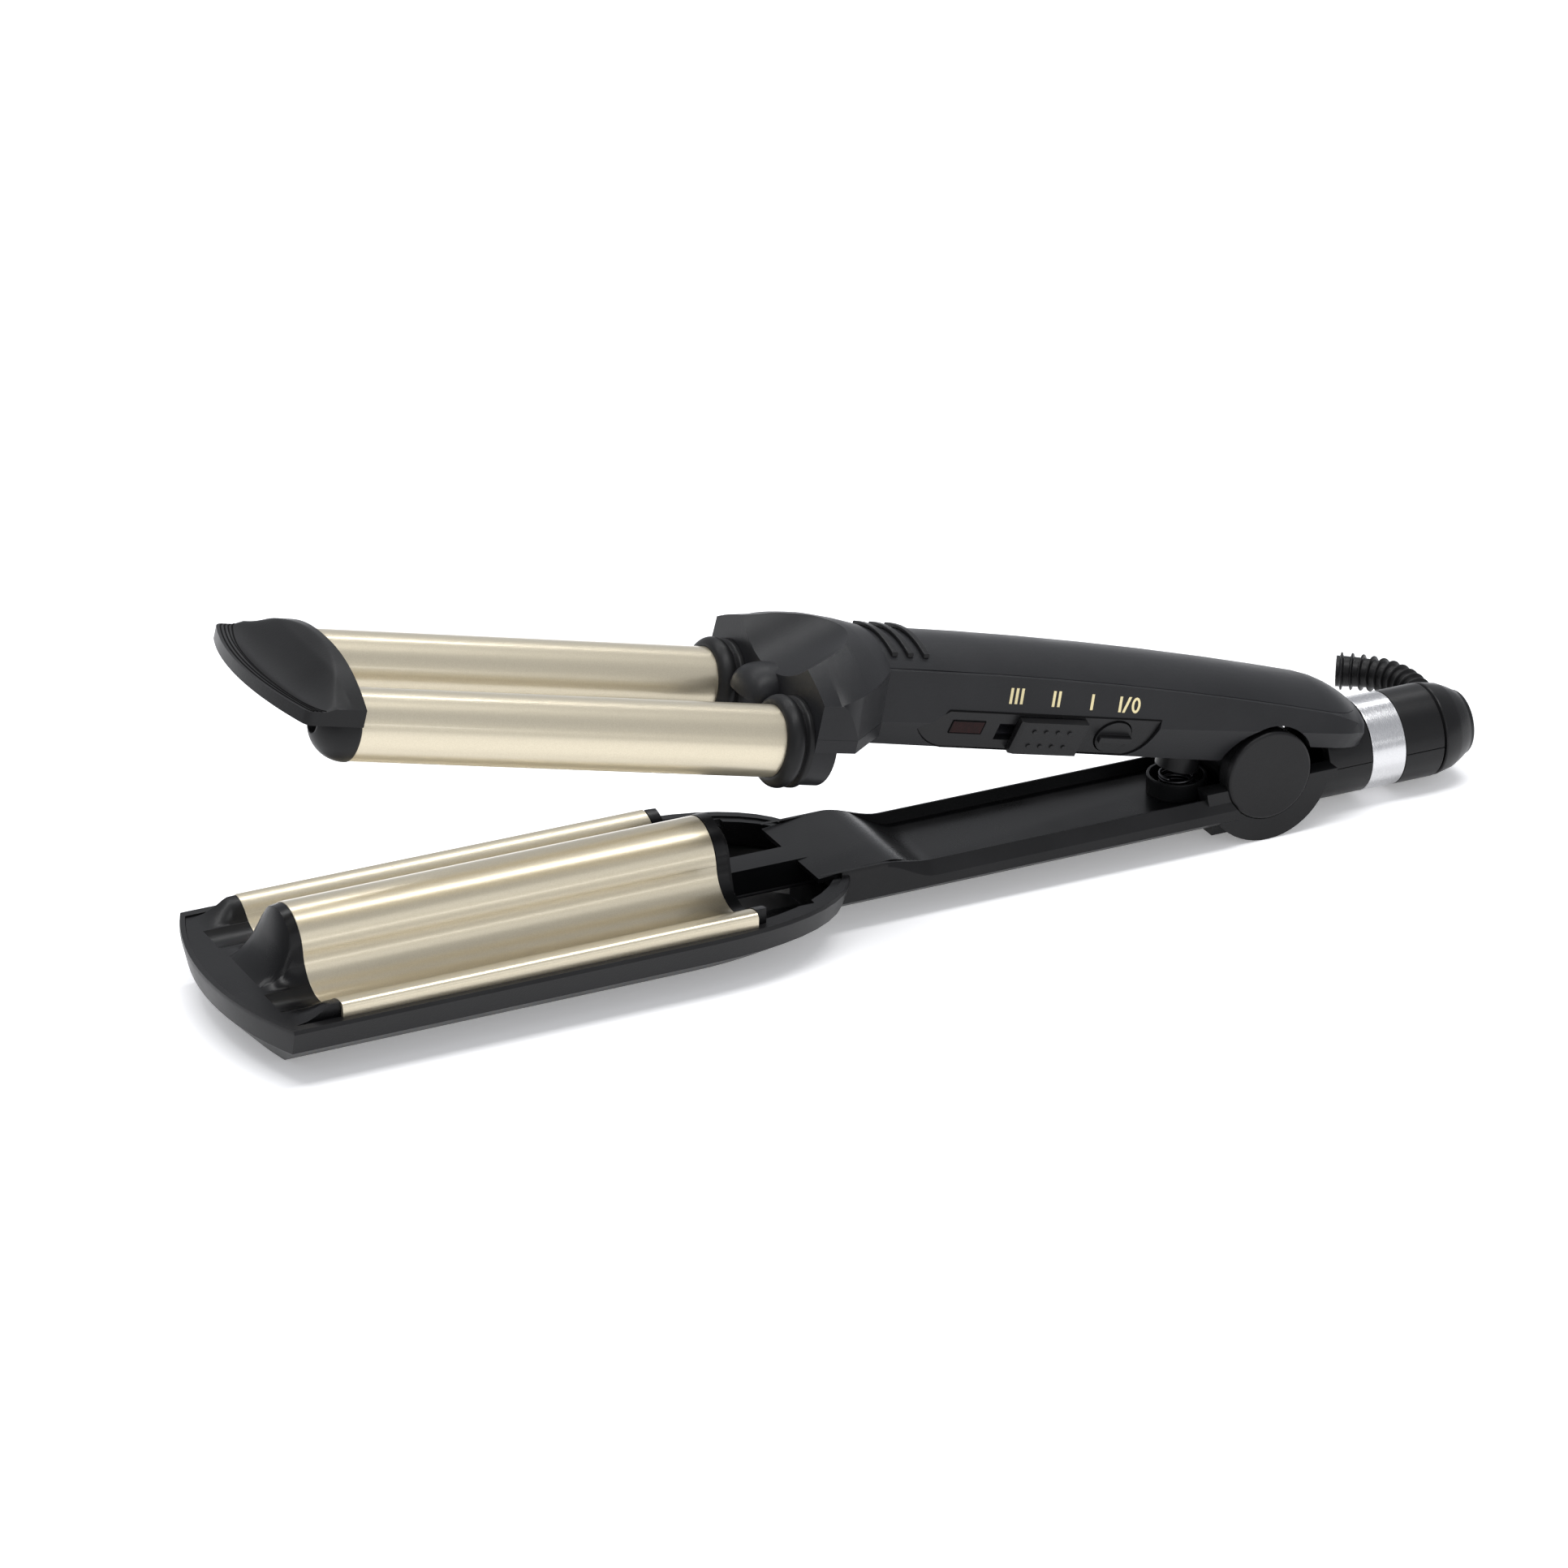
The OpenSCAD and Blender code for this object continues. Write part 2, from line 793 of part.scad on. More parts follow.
module head_cover() {
    color(charcoal)
        opened()
            difference() {
                union() {
                    difference() {
                        head_solid(0);
                        translate([head_x0, 0, 34.4])
                            rotate([0, -32, 0])
                                translate([-20, 0, saddle_r])
                                    rod_x(saddle_r, 0, 60);
                    }
                    head_nose();
                }
                intersection() {
                    translate([0, 0, part_z - 1])
                        linear_extrude(5.2)
                            polygon(head_plan(3));
                    translate([head_x0 + 2.6, -40, part_z - 2])
                        cube([handle_x0 - head_x0 - 4.4, 80, 10]);
                }
                barrel_bores(50, socket_x - 1.2, barrel_r + 0.05);
            }
}

// Rounded boss between the barrels, sloping down to the tip
module head_nose() {
    intersection() {
        hull() {
            translate([72, 0, 31])
                sphere(r = 7.4, $fn = 24);
            translate([59.5, 0, 28.4])
                sphere(r = 6.2, $fn = 24);
        }
        translate([plate_x + 3.4, -20, part_z])
            cube([26, 40, 20]);
    }
}

// ---- Barrels ----

module barrel(side) {
    color(gold)
        opened()
            translate([0, side * barrel_y, barrel_z])
                difference() {
                    rod_x(barrel_r, cap_x + 0.05, socket_x - 1.3);
                    rod_x(barrel_r - barrel_t, -plate_x - 1, socket_x);
                }
}

module barrel_near() {
    barrel(-1);
}

module barrel_far() {
    barrel(1);
}

module barrel_heater(side) {
    color("#d8d8d4")
        opened()
            translate([0, side * barrel_y, barrel_z])
                intersection() {
                    rod_x(barrel_r - barrel_t - fit, -plate_x + 8, 58);
                    translate([-80, -3.2, -10])
                        cube([160, 6.4, 20]);
                }
}

module barrel_heater_near() {
    barrel_heater(-1);
}

module barrel_heater_far() {
    barrel_heater(1);
}

// Rubber ring at the root of a barrel: a round roll with a thin flange behind it
module barrel_ring(side) {
    color(rubber)
        opened()
            translate([0, side * barrel_y, barrel_z])
                rotate([0, 90, 0])
                    rotate_extrude()
                        polygon(concat(
                            [[barrel_r + 0.05, ring_x]],
                            arc([8.9, ring_x + 2.8], 2.8, -90, 60, 12),
                            [[11, ring_x + 5.4], [11.5, ring_x + 5.5], [11.5, ring_x + 6.5],
                                [barrel_r + 0.05, ring_x + 6.5]]
                        ));
}

module barrel_ring_near() {
    barrel_ring(-1);
}

module barrel_ring_far() {
    barrel_ring(1);
}

// ---- Tip cap ----

cap_x = -plate_x - 0.2;             // back face of the tip cap

module cap_arch() {
    polygon(concat(
        [[-28.3, 31.4]],
        [for (u = [-1:0.125:1]) [28.3 * u, 31.6 + 6.4 * (1 - pow(abs(u), 2.6))]],
        [[28.3, 31.4], [28.3, 26.4], [-28.3, 26.4]]
    ));
}

module cap_plan() {
    polygon(concat(
        arc([cap_x - 20.4 + 75, 0], 75, 180 - 21.5, 180 + 21.5, 12),
        [[cap_x, -28.3], [cap_x, 28.3]]
    ));
}

module tip_cap() {
    color(rubber)
        opened()
            difference() {
                union() {
                    intersection() {
                        along_x(cap_x - 24, cap_x)
                            cap_arch();
                        linear_extrude(80)
                            cap_plan();
                        along_y(-30, 30)
                            polygon([[cap_x + 1, 50], [cap_x + 1, 26.4], [cap_x - 12, 26.4], [cap_x - 24, 27],
                                [cap_x - 24, 40]]);
                    }
                    both_sides()
                        translate([0, barrel_y, barrel_z])
                            intersection() {
                                rotate([0, -90, 0])
                                    translate([0, 0, -cap_x])
                                        rotate_extrude()
                                            polygon(concat([[0, 0]], arc([0, 0], 8.8, 0, 90, 12)));
                                translate([-100, -10, -12])
                                    cube([100, 20, 18]);
                            }
                    both_sides()
                        translate([0, barrel_y, barrel_z])
                            rod_x(barrel_r - barrel_t - fit, cap_x - 1, cap_x + 5);
                }
                translate([cap_x - 14.2, 0, 45.9])
                    rotate([90, 0, 0])
                        rotate_extrude()
                            polygon(concat(arc([-8.5, 0], 24.8, -54, 54, 14), [[0, 20], [0, -20]]));
                for (i = [0:3])
                    translate([cap_x + 54.6 + i * 0.9, 0, 28.4])
                        difference() {
                            cylinder(r = 73.8, h = 5);
                            translate([0, 0, -1])
                                cylinder(r = 73.5, h = 8);
                            translate([-40, -100, -1])
                                cube([200, 200, 8]);
                            translate([-100, 24, -1])
                                cube([100, 100, 8]);
                            translate([-100, -124, -1])
                                cube([100, 100, 8]);
                        }
                translate([cap_x - 5.2, -11, 20])
                    cube([8, 22, 11.3]);
                both_sides()
                    translate([0, barrel_y, barrel_z])
                        union() {
                            rod_x(1.6, -100, 0);
                            rod_x(2.7, -100, cap_x - 3.6);
                        }
            }
}

module tip_screws() {
    color(steel)
        opened()
            both_sides()
                translate([0, barrel_y, barrel_z])
                    union() {
                        rod_x(1.5, cap_x - 4, cap_x + 7.5);
                        rod_x(2.6, cap_x - 5.2, cap_x - 3.6);
                    }
}

// ---- Controls on the near side ----

panel_y = -14.15;                   // the panel face passes through this line
panel_z = 26;

// The panel frame: X along the handle, Y out of the face, Z up the face
module on_panel() {
    translate([0, panel_y, panel_z])
        rotate([panel_tilt, 0, 0])
            mirror([0, 1, 0])
                children();
}

// Outline of the switch panel on its face, drawn in X and Z
module panel_shape(grow) {
    polygon(concat(
        [[102.3 - grow, 0.9]],
        curve([103.4 - grow, 2.2 + grow], [107, 3.4 + grow], [110, 6.1 + grow], 5),
        curve([171.5 + grow, 5.8 + grow], [171.2 + grow, -4.4 - grow], [164.5, -5.9 - grow], 7),
        curve([111.5, -5.6 - grow], [106 - grow, -4.6 - grow], [102.3 - grow, 0.6], 5)
    ));
}

slider_x0 = 130.2;
slider_l = 19.4;
slider_h = 10.4;
slider_y = 2.1;                     // how far the slider stands off the panel
button_x = 159.5;

module panel_pocket() {
    on_panel()
        along_y(-4, 6)
            panel_shape(0.08);
}

module switch_panel() {
    color(black)
        opened()
            on_panel()
                difference() {
                    along_y(-2, 0)
                        panel_shape(0);
                    translate([slider_x0 - slider_travel + 2.5, -3, -2.6])
                        cube([slider_l + slider_travel - 5, 5, 5.2]);
                    translate([button_x, 0, 0])
                        rod_y(button_r + 0.3, -3, 2);
                    translate([112, -3, -1])
                        cube([9.4, 5, 4.1]);
                }
}

module indicator_lens() {
    color("#5a1416")
        opened()
            on_panel()
                translate([112.1, -2, -0.9])
                    cube([9.2, 2.15, 3.9]);
}

module indicator_lamp() {
    color("#c26a3a")
        opened()
            on_panel()
                translate([0, -4.2, 1])
                    rod_x(1.6, 113, 120.4);
}

module temp_slider() {
    color(black)
        opened()
            on_panel()
                union() {
                    difference() {
                        translate([slider_x0, 0.15, -slider_h / 2])
                            cube([slider_l, slider_y, slider_h]);
                        translate([slider_x0 - 0.3, slider_y - 0.35, -slider_h])
                            rotate([0, 0, 16])
                                cube([5, 2, 2 * slider_h]);
                    }
                    for (i = [0:3], k = [0:1])
                        translate([slider_x0 + 4.6 + i * 3.4, slider_y + 0.1, -2.3 + k * 4.6])
                            rod_y(0.6, 0, 0.4);
                    translate([slider_x0 + 6.2, -5.2, -2.3])
                        cube([7, 5.6, 4.6]);
                }
}

module power_button() {
    color(black)
        opened()
            on_panel()
                translate([button_x, 0, 0])
                    union() {
                        rod_y(button_r, -2.6, 0.5);
                        translate([-button_r + 0.3, 0.4, -0.9])
                            cube([2 * button_r - 0.6, 1.5, 1.8]);
                        rod_y(1.8, -5.4, -2.5);
                    }
}

module circuit_board() {
    color(board_green)
        opened()
            on_panel()
                translate([107, -8.6, -4.2])
                    cube([74, 1.4, 10]);
}

module slide_switch() {
    color("#3a3c40")
        opened()
            on_panel()
                difference() {
                    translate([slider_x0 - 5, -7.2, -3.4])
                        cube([slider_l + 6, 4.4, 6.8]);
                    translate([slider_x0 - 2.5, -5.6, -2.6])
                        cube([slider_l - 1, 4, 5.2]);
                }
}

module push_switch() {
    color("#3a3c40")
        opened()
            on_panel()
                translate([button_x - 4, -7.2, -3.6])
                    difference() {
                        cube([8, 3.2, 7.2]);
                        translate([4, 0, 3.6])
                            rod_y(2.1, 0.2, 4);
                    }
}

module upper_leads() {
    color("#26262a")
        opened()
            both_sides()
                translate([0, 2.7, 32])
                    rod_x(0.75, 94, 186);
}

module base_screws() {
    color(steel)
        opened()
            both_sides()
                translate([base_screw_x, base_screw_y, 20.9])
                    union() {
                        cylinder(r = 1.5, h = 13);
                        cylinder(r = 2.6, h = 0.95);
                    }
}

module spring_post() {
    color(black)
        opened()
            translate([cup_x + 0.4, 0, 0])
                union() {
                    translate([0, 0, 13.2])
                        cylinder(r = 5.6, h = 6.6);
                    translate([0, 0, 19])
                        cylinder(r = 3, h = 6);
                }
}

// A plain sleeve stands for the coil spring between the cup and the post
module return_spring() {
    color(steel)
        translate([cup_x, 0, floor_z + 0.85])
            difference() {
                cylinder(r = 4.8, h = 4.3);
                translate([0, 0, -1])
                    cylinder(r = 3.8, h = 7);
            }
}

// ---- Cord swivel ----

cone_x1 = 273;

module swivel_cone() {
    color(black)
        translate([0, 0, tail_z])
            rotate([0, 90, 0])
                rotate_extrude()
                    polygon(concat(
                        [[0, collar_x1 - 2.4], [spindle_r, collar_x1 - 2.4], [spindle_r, collar_x1 + 0.7],
                            [12.1, collar_x1 + 0.7]],
                        curve([10.4, cone_x1 - 5], [8.6, cone_x1 - 1], [7.4, cone_x1 - 0.4], 4),
                        arc([6.4, cone_x1 - 1.4], 1.4, 45, 90, 3),
                        [[0, cone_x1]]
                    ));
}

module swivel_retainer() {
    color(steel)
        translate([0, 0, tail_z])
            difference() {
                rod_x(8.4, collar_x1 - 4.4, collar_x1 - 2.5);
                rod_x(2, collar_x1 - 6, collar_x1);
            }
}

// Middle line of the cord boot, from the swivel round to its free end
boot_path = [[268, 6, 13.2], [270.2, 12, 13.4], [271.6, 18, 13.6], [271.8, 24, 13.7], [270.6, 29.6, 13.7],
    [268, 34.4, 13.4], [264.4, 38.2, 13.2], [260.2, 41, 13.2]];

function unit(v) = v / norm(v);
function boot_dir(i) = unit(boot_path[min(i + 1, len(boot_path) - 1)] - boot_path[max(i - 1, 0)]);
function boot_width(i) = 3.6 + (boot_r - 3.6) * i / (len(boot_path) - 1);

function boot_ring(i) = let (side = unit(cross(boot_dir(i), [0, 0, 1])), up = cross(side, boot_dir(i)))
    [for (k = [0:15]) boot_path[i] + boot_width(i) * (cos(k * 22.5) * side + sin(k * 22.5) * up)];

module cord_boot() {
    last = len(boot_path) - 1;
    color(rubber)
        difference() {
            loft([for (i = [0:last]) boot_ring(i)]);
            translate([collar_x1 + 0.7, 0, tail_z])
                rotate([0, 90, 0])
                    cylinder(r1 = 12.3, r2 = 9, h = cone_x1 - collar_x1 - 0.7);
            translate(boot_path[last])
                rotate([0, 0, atan2(boot_dir(last).y, boot_dir(last).x)])
                    rod_x(cord_r, -8, 4);
        }
}

lower_shell();
plate_frame();
wave_plate();
plate_heater();
heater_clamp();
thermal_fuse();
lower_leads();
frame_screws();
tail_cover();
steel_ring();
collar_upper();
collar_lower();
spring_cup();
hinge_pin();
hinge_cap_near();
hinge_cap_far();
upper_base();
handle_cover();
grip_ribs();
head_cover();
tip_cap();
tip_screws();
barrel_near();
barrel_far();
barrel_heater_near();
barrel_heater_far();
barrel_ring_near();
barrel_ring_far();
switch_panel();
indicator_lens();
indicator_lamp();
circuit_board();
slide_switch();
push_switch();
upper_leads();
base_screws();
spring_post();
temp_slider();
power_button();
return_spring();
swivel_cone();
swivel_retainer();
cord_boot();
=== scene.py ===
"""The looks of the hair waver: materials, finer pieces and the studio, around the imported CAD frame."""

import json
import math

import bmesh
import bpy
from mathutils import Matrix, Quaternion, Vector


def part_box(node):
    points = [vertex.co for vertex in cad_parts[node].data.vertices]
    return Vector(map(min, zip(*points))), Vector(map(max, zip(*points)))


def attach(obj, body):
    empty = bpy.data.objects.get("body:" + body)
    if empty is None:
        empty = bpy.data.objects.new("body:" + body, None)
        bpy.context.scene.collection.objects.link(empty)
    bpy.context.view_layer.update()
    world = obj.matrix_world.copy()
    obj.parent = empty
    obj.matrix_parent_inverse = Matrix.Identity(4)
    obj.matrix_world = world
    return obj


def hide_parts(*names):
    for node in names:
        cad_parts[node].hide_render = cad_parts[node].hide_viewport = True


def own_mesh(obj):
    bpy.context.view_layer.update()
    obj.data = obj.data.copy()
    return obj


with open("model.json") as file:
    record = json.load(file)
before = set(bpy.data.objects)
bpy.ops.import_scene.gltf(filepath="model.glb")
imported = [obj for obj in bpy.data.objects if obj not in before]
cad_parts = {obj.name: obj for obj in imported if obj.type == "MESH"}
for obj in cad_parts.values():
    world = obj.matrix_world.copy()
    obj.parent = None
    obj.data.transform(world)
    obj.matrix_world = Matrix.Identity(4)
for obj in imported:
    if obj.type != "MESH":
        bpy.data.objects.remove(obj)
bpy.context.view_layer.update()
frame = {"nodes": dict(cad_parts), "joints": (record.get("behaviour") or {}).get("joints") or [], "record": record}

MM = 0.001
NODES = frame["nodes"]
JOINTS = {joint["name"]: joint for joint in frame["joints"]}
BODIES = frame["record"]["behaviour"]["bodies"]
BODY_OF = {node: body for body, members in BODIES.items() for node in members}
SLOT_OF = {part["node"]: part["material_slot"] for part in frame["record"]["subparts"]}

HINGE = Vector(JOINTS["arm_hinge"]["pos_m"])
OPEN_ANGLE = math.radians(JOINTS["arm_hinge"]["range_deg"][1])
# The upper arm is worked out closed, as in the CAD source, and turned about the hinge to its rest place
OPENED = Matrix.Translation(HINGE) @ Matrix.Rotation(OPEN_ANGLE, 4, "Y") @ Matrix.Translation(-HINGE)
LOWER = Matrix.Identity(4)

# Driving dimensions in millimetres, along X from the tip, across Y from the middle, up Z from the floor.
# They follow the CAD source, but the barrels are 17.8 mm across instead of 17 mm, as they look in the photo.
PLATE_X = 55.0  # half the wave plate's length
PLATE_T = 1.2
CREST_Z = 30.65
VALLEY_R = 9.3
LIP_Z = 19.25
DECK_Z = 15.35
BARREL_X = (-55.15, 71.2)
BARREL_Y = 19.0
BARREL_Z = 23.05
BARREL_R = 8.9
BARREL_T = 1.3
RUBBER_X = 59.3
TAIL_R = 12.0
TAIL_Z = 13.15
RING_X = (240.3, 250.1)
COLLAR_X = 261.5
CONE_X = 273.0
CORD_R = 3.2


# ---- Camera and studio ----

LIT_POINT = (0.1, 0, 0.03)
# Name, place and size in metres, power in watts
SOFT_BOXES = (
    ("key", (0.1, -0.15, 1.5), (1.5, 0.35), 15),
    ("strip", (0.1, 0.85, 1.3), (2.2, 0.12), 11),
    ("low_strip", (0.0, -1.7, 0.55), (2.2, 0.12), 3.5),
    ("front", (0.3, -1.9, 1.3), (1.6, 0.6), 3),
)


def add_camera():
    """The photo's view: a long lens from above on the near side."""
    location = Vector((-0.68142, -1.51859, 0.83650))
    target = Vector((0.07825, 0.0, 0.03524))
    roll = math.radians(0.318)
    data = bpy.data.cameras.new("camera")
    data.lens = 174.795
    data.sensor_width = 36
    data.clip_start = 0.05
    data.clip_end = 50
    camera = bpy.data.objects.new("camera", data)
    camera.location = location
    camera.rotation_mode = "QUATERNION"
    camera.rotation_quaternion = (target - location).to_track_quat("-Z", "Y") @ Quaternion((0, 0, 1), roll)
    bpy.context.scene.collection.objects.link(camera)
    bpy.context.scene.camera = camera


def area_light(name, place, size, power):
    """A soft box at place that points at LIT_POINT."""
    data = bpy.data.lights.new(name, "AREA")
    data.shape = "RECTANGLE"
    data.size, data.size_y = size
    data.energy = power
    light = bpy.data.objects.new(name, data)
    light.location = place
    light.rotation_euler = (Vector(LIT_POINT) - Vector(place)).to_track_quat("-Z", "Y").to_euler()
    bpy.context.scene.collection.objects.link(light)


def add_world():
    world = bpy.data.worlds.new("studio")
    world.use_nodes = True
    background = world.node_tree.nodes["Background"]
    background.inputs["Color"].default_value = (0.93, 0.95, 1.0, 1)
    background.inputs["Strength"].default_value = 0.60
    bpy.context.scene.world = world
    bpy.context.scene.view_settings.view_transform = "Standard"


def add_floor():
    """A plain light floor that glows a little, so that it comes out as the photo's white ground."""
    reach = 14
    corners = [(-reach, -reach, 0), (reach, -reach, 0), (reach, reach, 0), (-reach, reach, 0)]
    mesh = bpy.data.meshes.new("floor")
    mesh.from_pydata(corners, [], [(0, 1, 2, 3)])
    floor = bpy.data.objects.new("floor", mesh)
    bpy.context.scene.collection.objects.link(floor)
    material, nodes, links, shader = new_material("studio_floor")
    shader.inputs["Base Color"].default_value = (0.93, 0.93, 0.94, 1)
    shader.inputs["Roughness"].default_value = 0.6
    shader.inputs["Emission Color"].default_value = (1, 1, 1, 1)
    shader.inputs["Emission Strength"].default_value = 0.25
    mesh.materials.append(material)


def add_studio():
    add_world()
    for name, place, size, power in SOFT_BOXES:
        area_light(name, place, size, power)
    add_floor()


# ---- Materials ----


def new_material(name):
    material = bpy.data.materials.new(name)
    material.use_nodes = True
    nodes, links = material.node_tree.nodes, material.node_tree.links
    return material, nodes, links, nodes["Principled BSDF"]


def object_noise(nodes, links, scale, detail=3.0, stretch=(1, 1, 1)):
    """Noise fixed to the piece, with scale in features per metre."""
    place = nodes.new("ShaderNodeTexCoord")
    mapping = nodes.new("ShaderNodeMapping")
    mapping.inputs["Scale"].default_value = stretch
    noise = nodes.new("ShaderNodeTexNoise")
    noise.inputs["Scale"].default_value = scale
    noise.inputs["Detail"].default_value = detail
    links.new(place.outputs["Object"], mapping.inputs["Vector"])
    links.new(mapping.outputs["Vector"], noise.inputs["Vector"])
    return noise


def spread(nodes, links, source, low, high):
    """source's middle range mapped to low..high."""
    ramp = nodes.new("ShaderNodeMapRange")
    ramp.inputs["From Min"].default_value = 0.3
    ramp.inputs["From Max"].default_value = 0.7
    ramp.inputs["To Min"].default_value = low
    ramp.inputs["To Max"].default_value = high
    links.new(source, ramp.inputs["Value"])
    return ramp.outputs["Result"]


def add_bump(nodes, links, shader, height, strength, distance):
    bump = nodes.new("ShaderNodeBump")
    bump.inputs["Strength"].default_value = strength
    bump.inputs["Distance"].default_value = distance
    links.new(height, bump.inputs["Height"])
    links.new(bump.outputs["Normal"], shader.inputs["Normal"])


def two_tone(nodes, links, shader, factor, first, second):
    """A base colour that factor mixes from first and second."""
    mix = nodes.new("ShaderNodeMix")
    mix.data_type = "RGBA"
    mix.inputs["A"].default_value = (*first, 1)
    mix.inputs["B"].default_value = (*second, 1)
    links.new(factor, mix.inputs["Factor"])
    links.new(mix.outputs["Result"], shader.inputs["Base Color"])


def moulded(name, colour, roughness, grain=2200, grain_strength=0.12, mottle=0.05, shine=0.20):
    """Moulded plastic or rubber: fine spark-eroded grain, and handling that changes the gloss a little."""
    material, nodes, links, shader = new_material(name)
    cloud = object_noise(nodes, links, 55, 4)
    lighter = [c * 1.35 + 0.001 for c in colour]
    two_tone(nodes, links, shader, spread(nodes, links, cloud.outputs["Fac"], 0, 1), colour, lighter)
    gloss = spread(nodes, links, cloud.outputs["Fac"], roughness - mottle, roughness + mottle)
    links.new(gloss, shader.inputs["Roughness"])
    fine = object_noise(nodes, links, grain, 2)
    add_bump(nodes, links, shader, fine.outputs["Fac"], grain_strength, 0.0002)
    shader.inputs["Specular IOR Level"].default_value = shine
    return material


def champagne():
    """Metallic lacquer: fine flakes that differ in tone under a thin clear coat."""
    material, nodes, links, shader = new_material("champagne_lacquer")
    place = nodes.new("ShaderNodeTexCoord")
    flakes = nodes.new("ShaderNodeTexVoronoi")
    flakes.inputs["Scale"].default_value = 5200
    links.new(place.outputs["Object"], flakes.inputs["Vector"])
    tone = nodes.new("ShaderNodeSeparateColor")
    links.new(flakes.outputs["Color"], tone.inputs["Color"])
    two_tone(nodes, links, shader, tone.outputs["Red"], (0.56, 0.50, 0.375), (0.61, 0.55, 0.42))
    links.new(spread(nodes, links, tone.outputs["Green"], 0.30, 0.33), shader.inputs["Roughness"])
    shader.inputs["Metallic"].default_value = 0.80
    shader.inputs["Coat Weight"].default_value = 0.5
    shader.inputs["Coat Roughness"].default_value = 0.08
    return material


def metal(name, colour, roughness, stretch=(1, 1, 1), scale=600, strength=0.1):
    """Turned or brushed metal: fine lines along the longest direction of stretch."""
    material, nodes, links, shader = new_material(name)
    lines = object_noise(nodes, links, scale, 4, stretch)
    darker = [c * 0.8 for c in colour]
    two_tone(nodes, links, shader, spread(nodes, links, lines.outputs["Fac"], 0, 1), darker, colour)
    gloss = spread(nodes, links, lines.outputs["Fac"], roughness - 0.06, roughness + 0.08)
    links.new(gloss, shader.inputs["Roughness"])
    add_bump(nodes, links, shader, lines.outputs["Fac"], strength, 0.0001)
    shader.inputs["Metallic"].default_value = 1.0
    return material


def clear_red():
    """The unlit indicator: dark red with faint streaks from moulding."""
    material, nodes, links, shader = new_material("red_lens")
    streaks = object_noise(nodes, links, 320, 2, (4, 1, 1))
    tone = spread(nodes, links, streaks.outputs["Fac"], 0, 1)
    two_tone(nodes, links, shader, tone, (0.008, 0.0008, 0.0008), (0.014, 0.0015, 0.0015))
    add_bump(nodes, links, shader, streaks.outputs["Fac"], 0.04, 0.00005)
    shader.inputs["Roughness"].default_value = 0.22
    shader.inputs["Specular IOR Level"].default_value = 0.1
    return material


MATERIALS = {
    "black_plastic": moulded("black_plastic", (0.0062, 0.0062, 0.0066), 0.36),
    "inner_black": moulded("inner_black", (0.0036, 0.0036, 0.0040), 0.30, grain_strength=0.06),
    "charcoal_plastic": moulded("charcoal_plastic", (0.0090, 0.0092, 0.0102), 0.40),
    "control_plastic": moulded("control_plastic", (0.0070, 0.0070, 0.0075), 0.40, grain=2600),
    "rubber": moulded("rubber", (0.0052, 0.0052, 0.0055), 0.40, grain=1500),
    "gold_coat": champagne(),
    "steel": metal("brushed_steel", (0.66, 0.66, 0.67), 0.24, (30, 1, 1), 900, 0.05),
    "ceramic": moulded("ceramic", (0.62, 0.60, 0.55), 0.6),
    "red_lens": clear_red(),
    "lamp_glass": moulded("lamp_glass", (0.7, 0.25, 0.09), 0.15),
    "board": moulded("circuit_board", (0.02, 0.09, 0.035), 0.45),
    "switch_body": moulded("switch_body", (0.03, 0.03, 0.035), 0.5),
    "wire": moulded("wire_insulation", (0.012, 0.012, 0.013), 0.45),
}
MARK_PAINT = moulded("mark_paint", (0.60, 0.52, 0.30), 0.5)
# A darker copy of the steel for the return spring's coil: painted shade for its place in the spring cup between
# the arms.
SHADED_SPRING_STEEL = metal("spring_steel_painted_shade", (0.10, 0.10, 0.105), 0.35)
# Very dark and matte: the dark joint lines, and painted shade for the lip grooves.
JOINT_BLACK_AND_GROOVE_SHADE = moulded("joint_black_and_groove_shade", (0.0012, 0.0012, 0.0013), 0.8, shine=0.1)


def paint(piece, material):
    """Gives the piece this one material."""
    piece.data.materials.clear()
    piece.data.materials.append(material)


# ---- CAD nodes that stay: rounded edges and a finish ----


def refine_cad(name, rounding):
    """Smooth shading, and rounded edges by modifiers; the CAD mesh keeps its own points and faces."""
    piece = NODES[name]
    paint(piece, MATERIALS[SLOT_OF[name]])
    piece.modifiers.new("weld", "WELD").merge_threshold = 0.004 * MM
    planar = piece.modifiers.new("planar", "DECIMATE")
    planar.decimate_type = "DISSOLVE"
    planar.angle_limit = math.radians(0.6)
    smooth_faces(piece)
    round_edges(piece, rounding)


def smooth_faces(piece):
    piece.data.polygons.foreach_set("use_smooth", [True] * len(piece.data.polygons))


# ---- Making new pieces ----


def new_piece(name, points, faces, node, place=LOWER, stands_for=None, material=None, smooth=True):
    """A mesh given in millimetres, which rides on node's body and takes node's finish."""
    mesh = bpy.data.meshes.new(name)
    mesh.from_pydata([place @ (Vector(p) * MM) for p in points], [], faces)
    mesh.update()
    piece = bpy.data.objects.new(name, mesh)
    bpy.context.scene.collection.objects.link(piece)
    if smooth:
        smooth_faces(piece)
    paint(piece, material or MATERIALS[SLOT_OF[node]])
    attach(piece, BODY_OF[node])
    if stands_for:
        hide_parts(*stands_for)
    return piece


def face_outwards(piece):
    """Turns every face of a closed mesh to the outside."""
    edit = bmesh.new()
    edit.from_mesh(piece.data)
    bmesh.ops.recalc_face_normals(edit, faces=edit.faces)
    edit.to_mesh(piece.data)
    edit.free()


def round_edges(piece, width, segments=3, angle=28):
    """Rounds edges sharper than angle to width millimetres, with the shading of the flats kept flat."""
    rounding = piece.modifiers.new("rounding", "BEVEL")
    rounding.width = width * MM
    rounding.segments = segments
    rounding.limit_method = "ANGLE"
    rounding.angle_limit = math.radians(angle)
    piece.modifiers.new("normals", "WEIGHTED_NORMAL").weight = 60


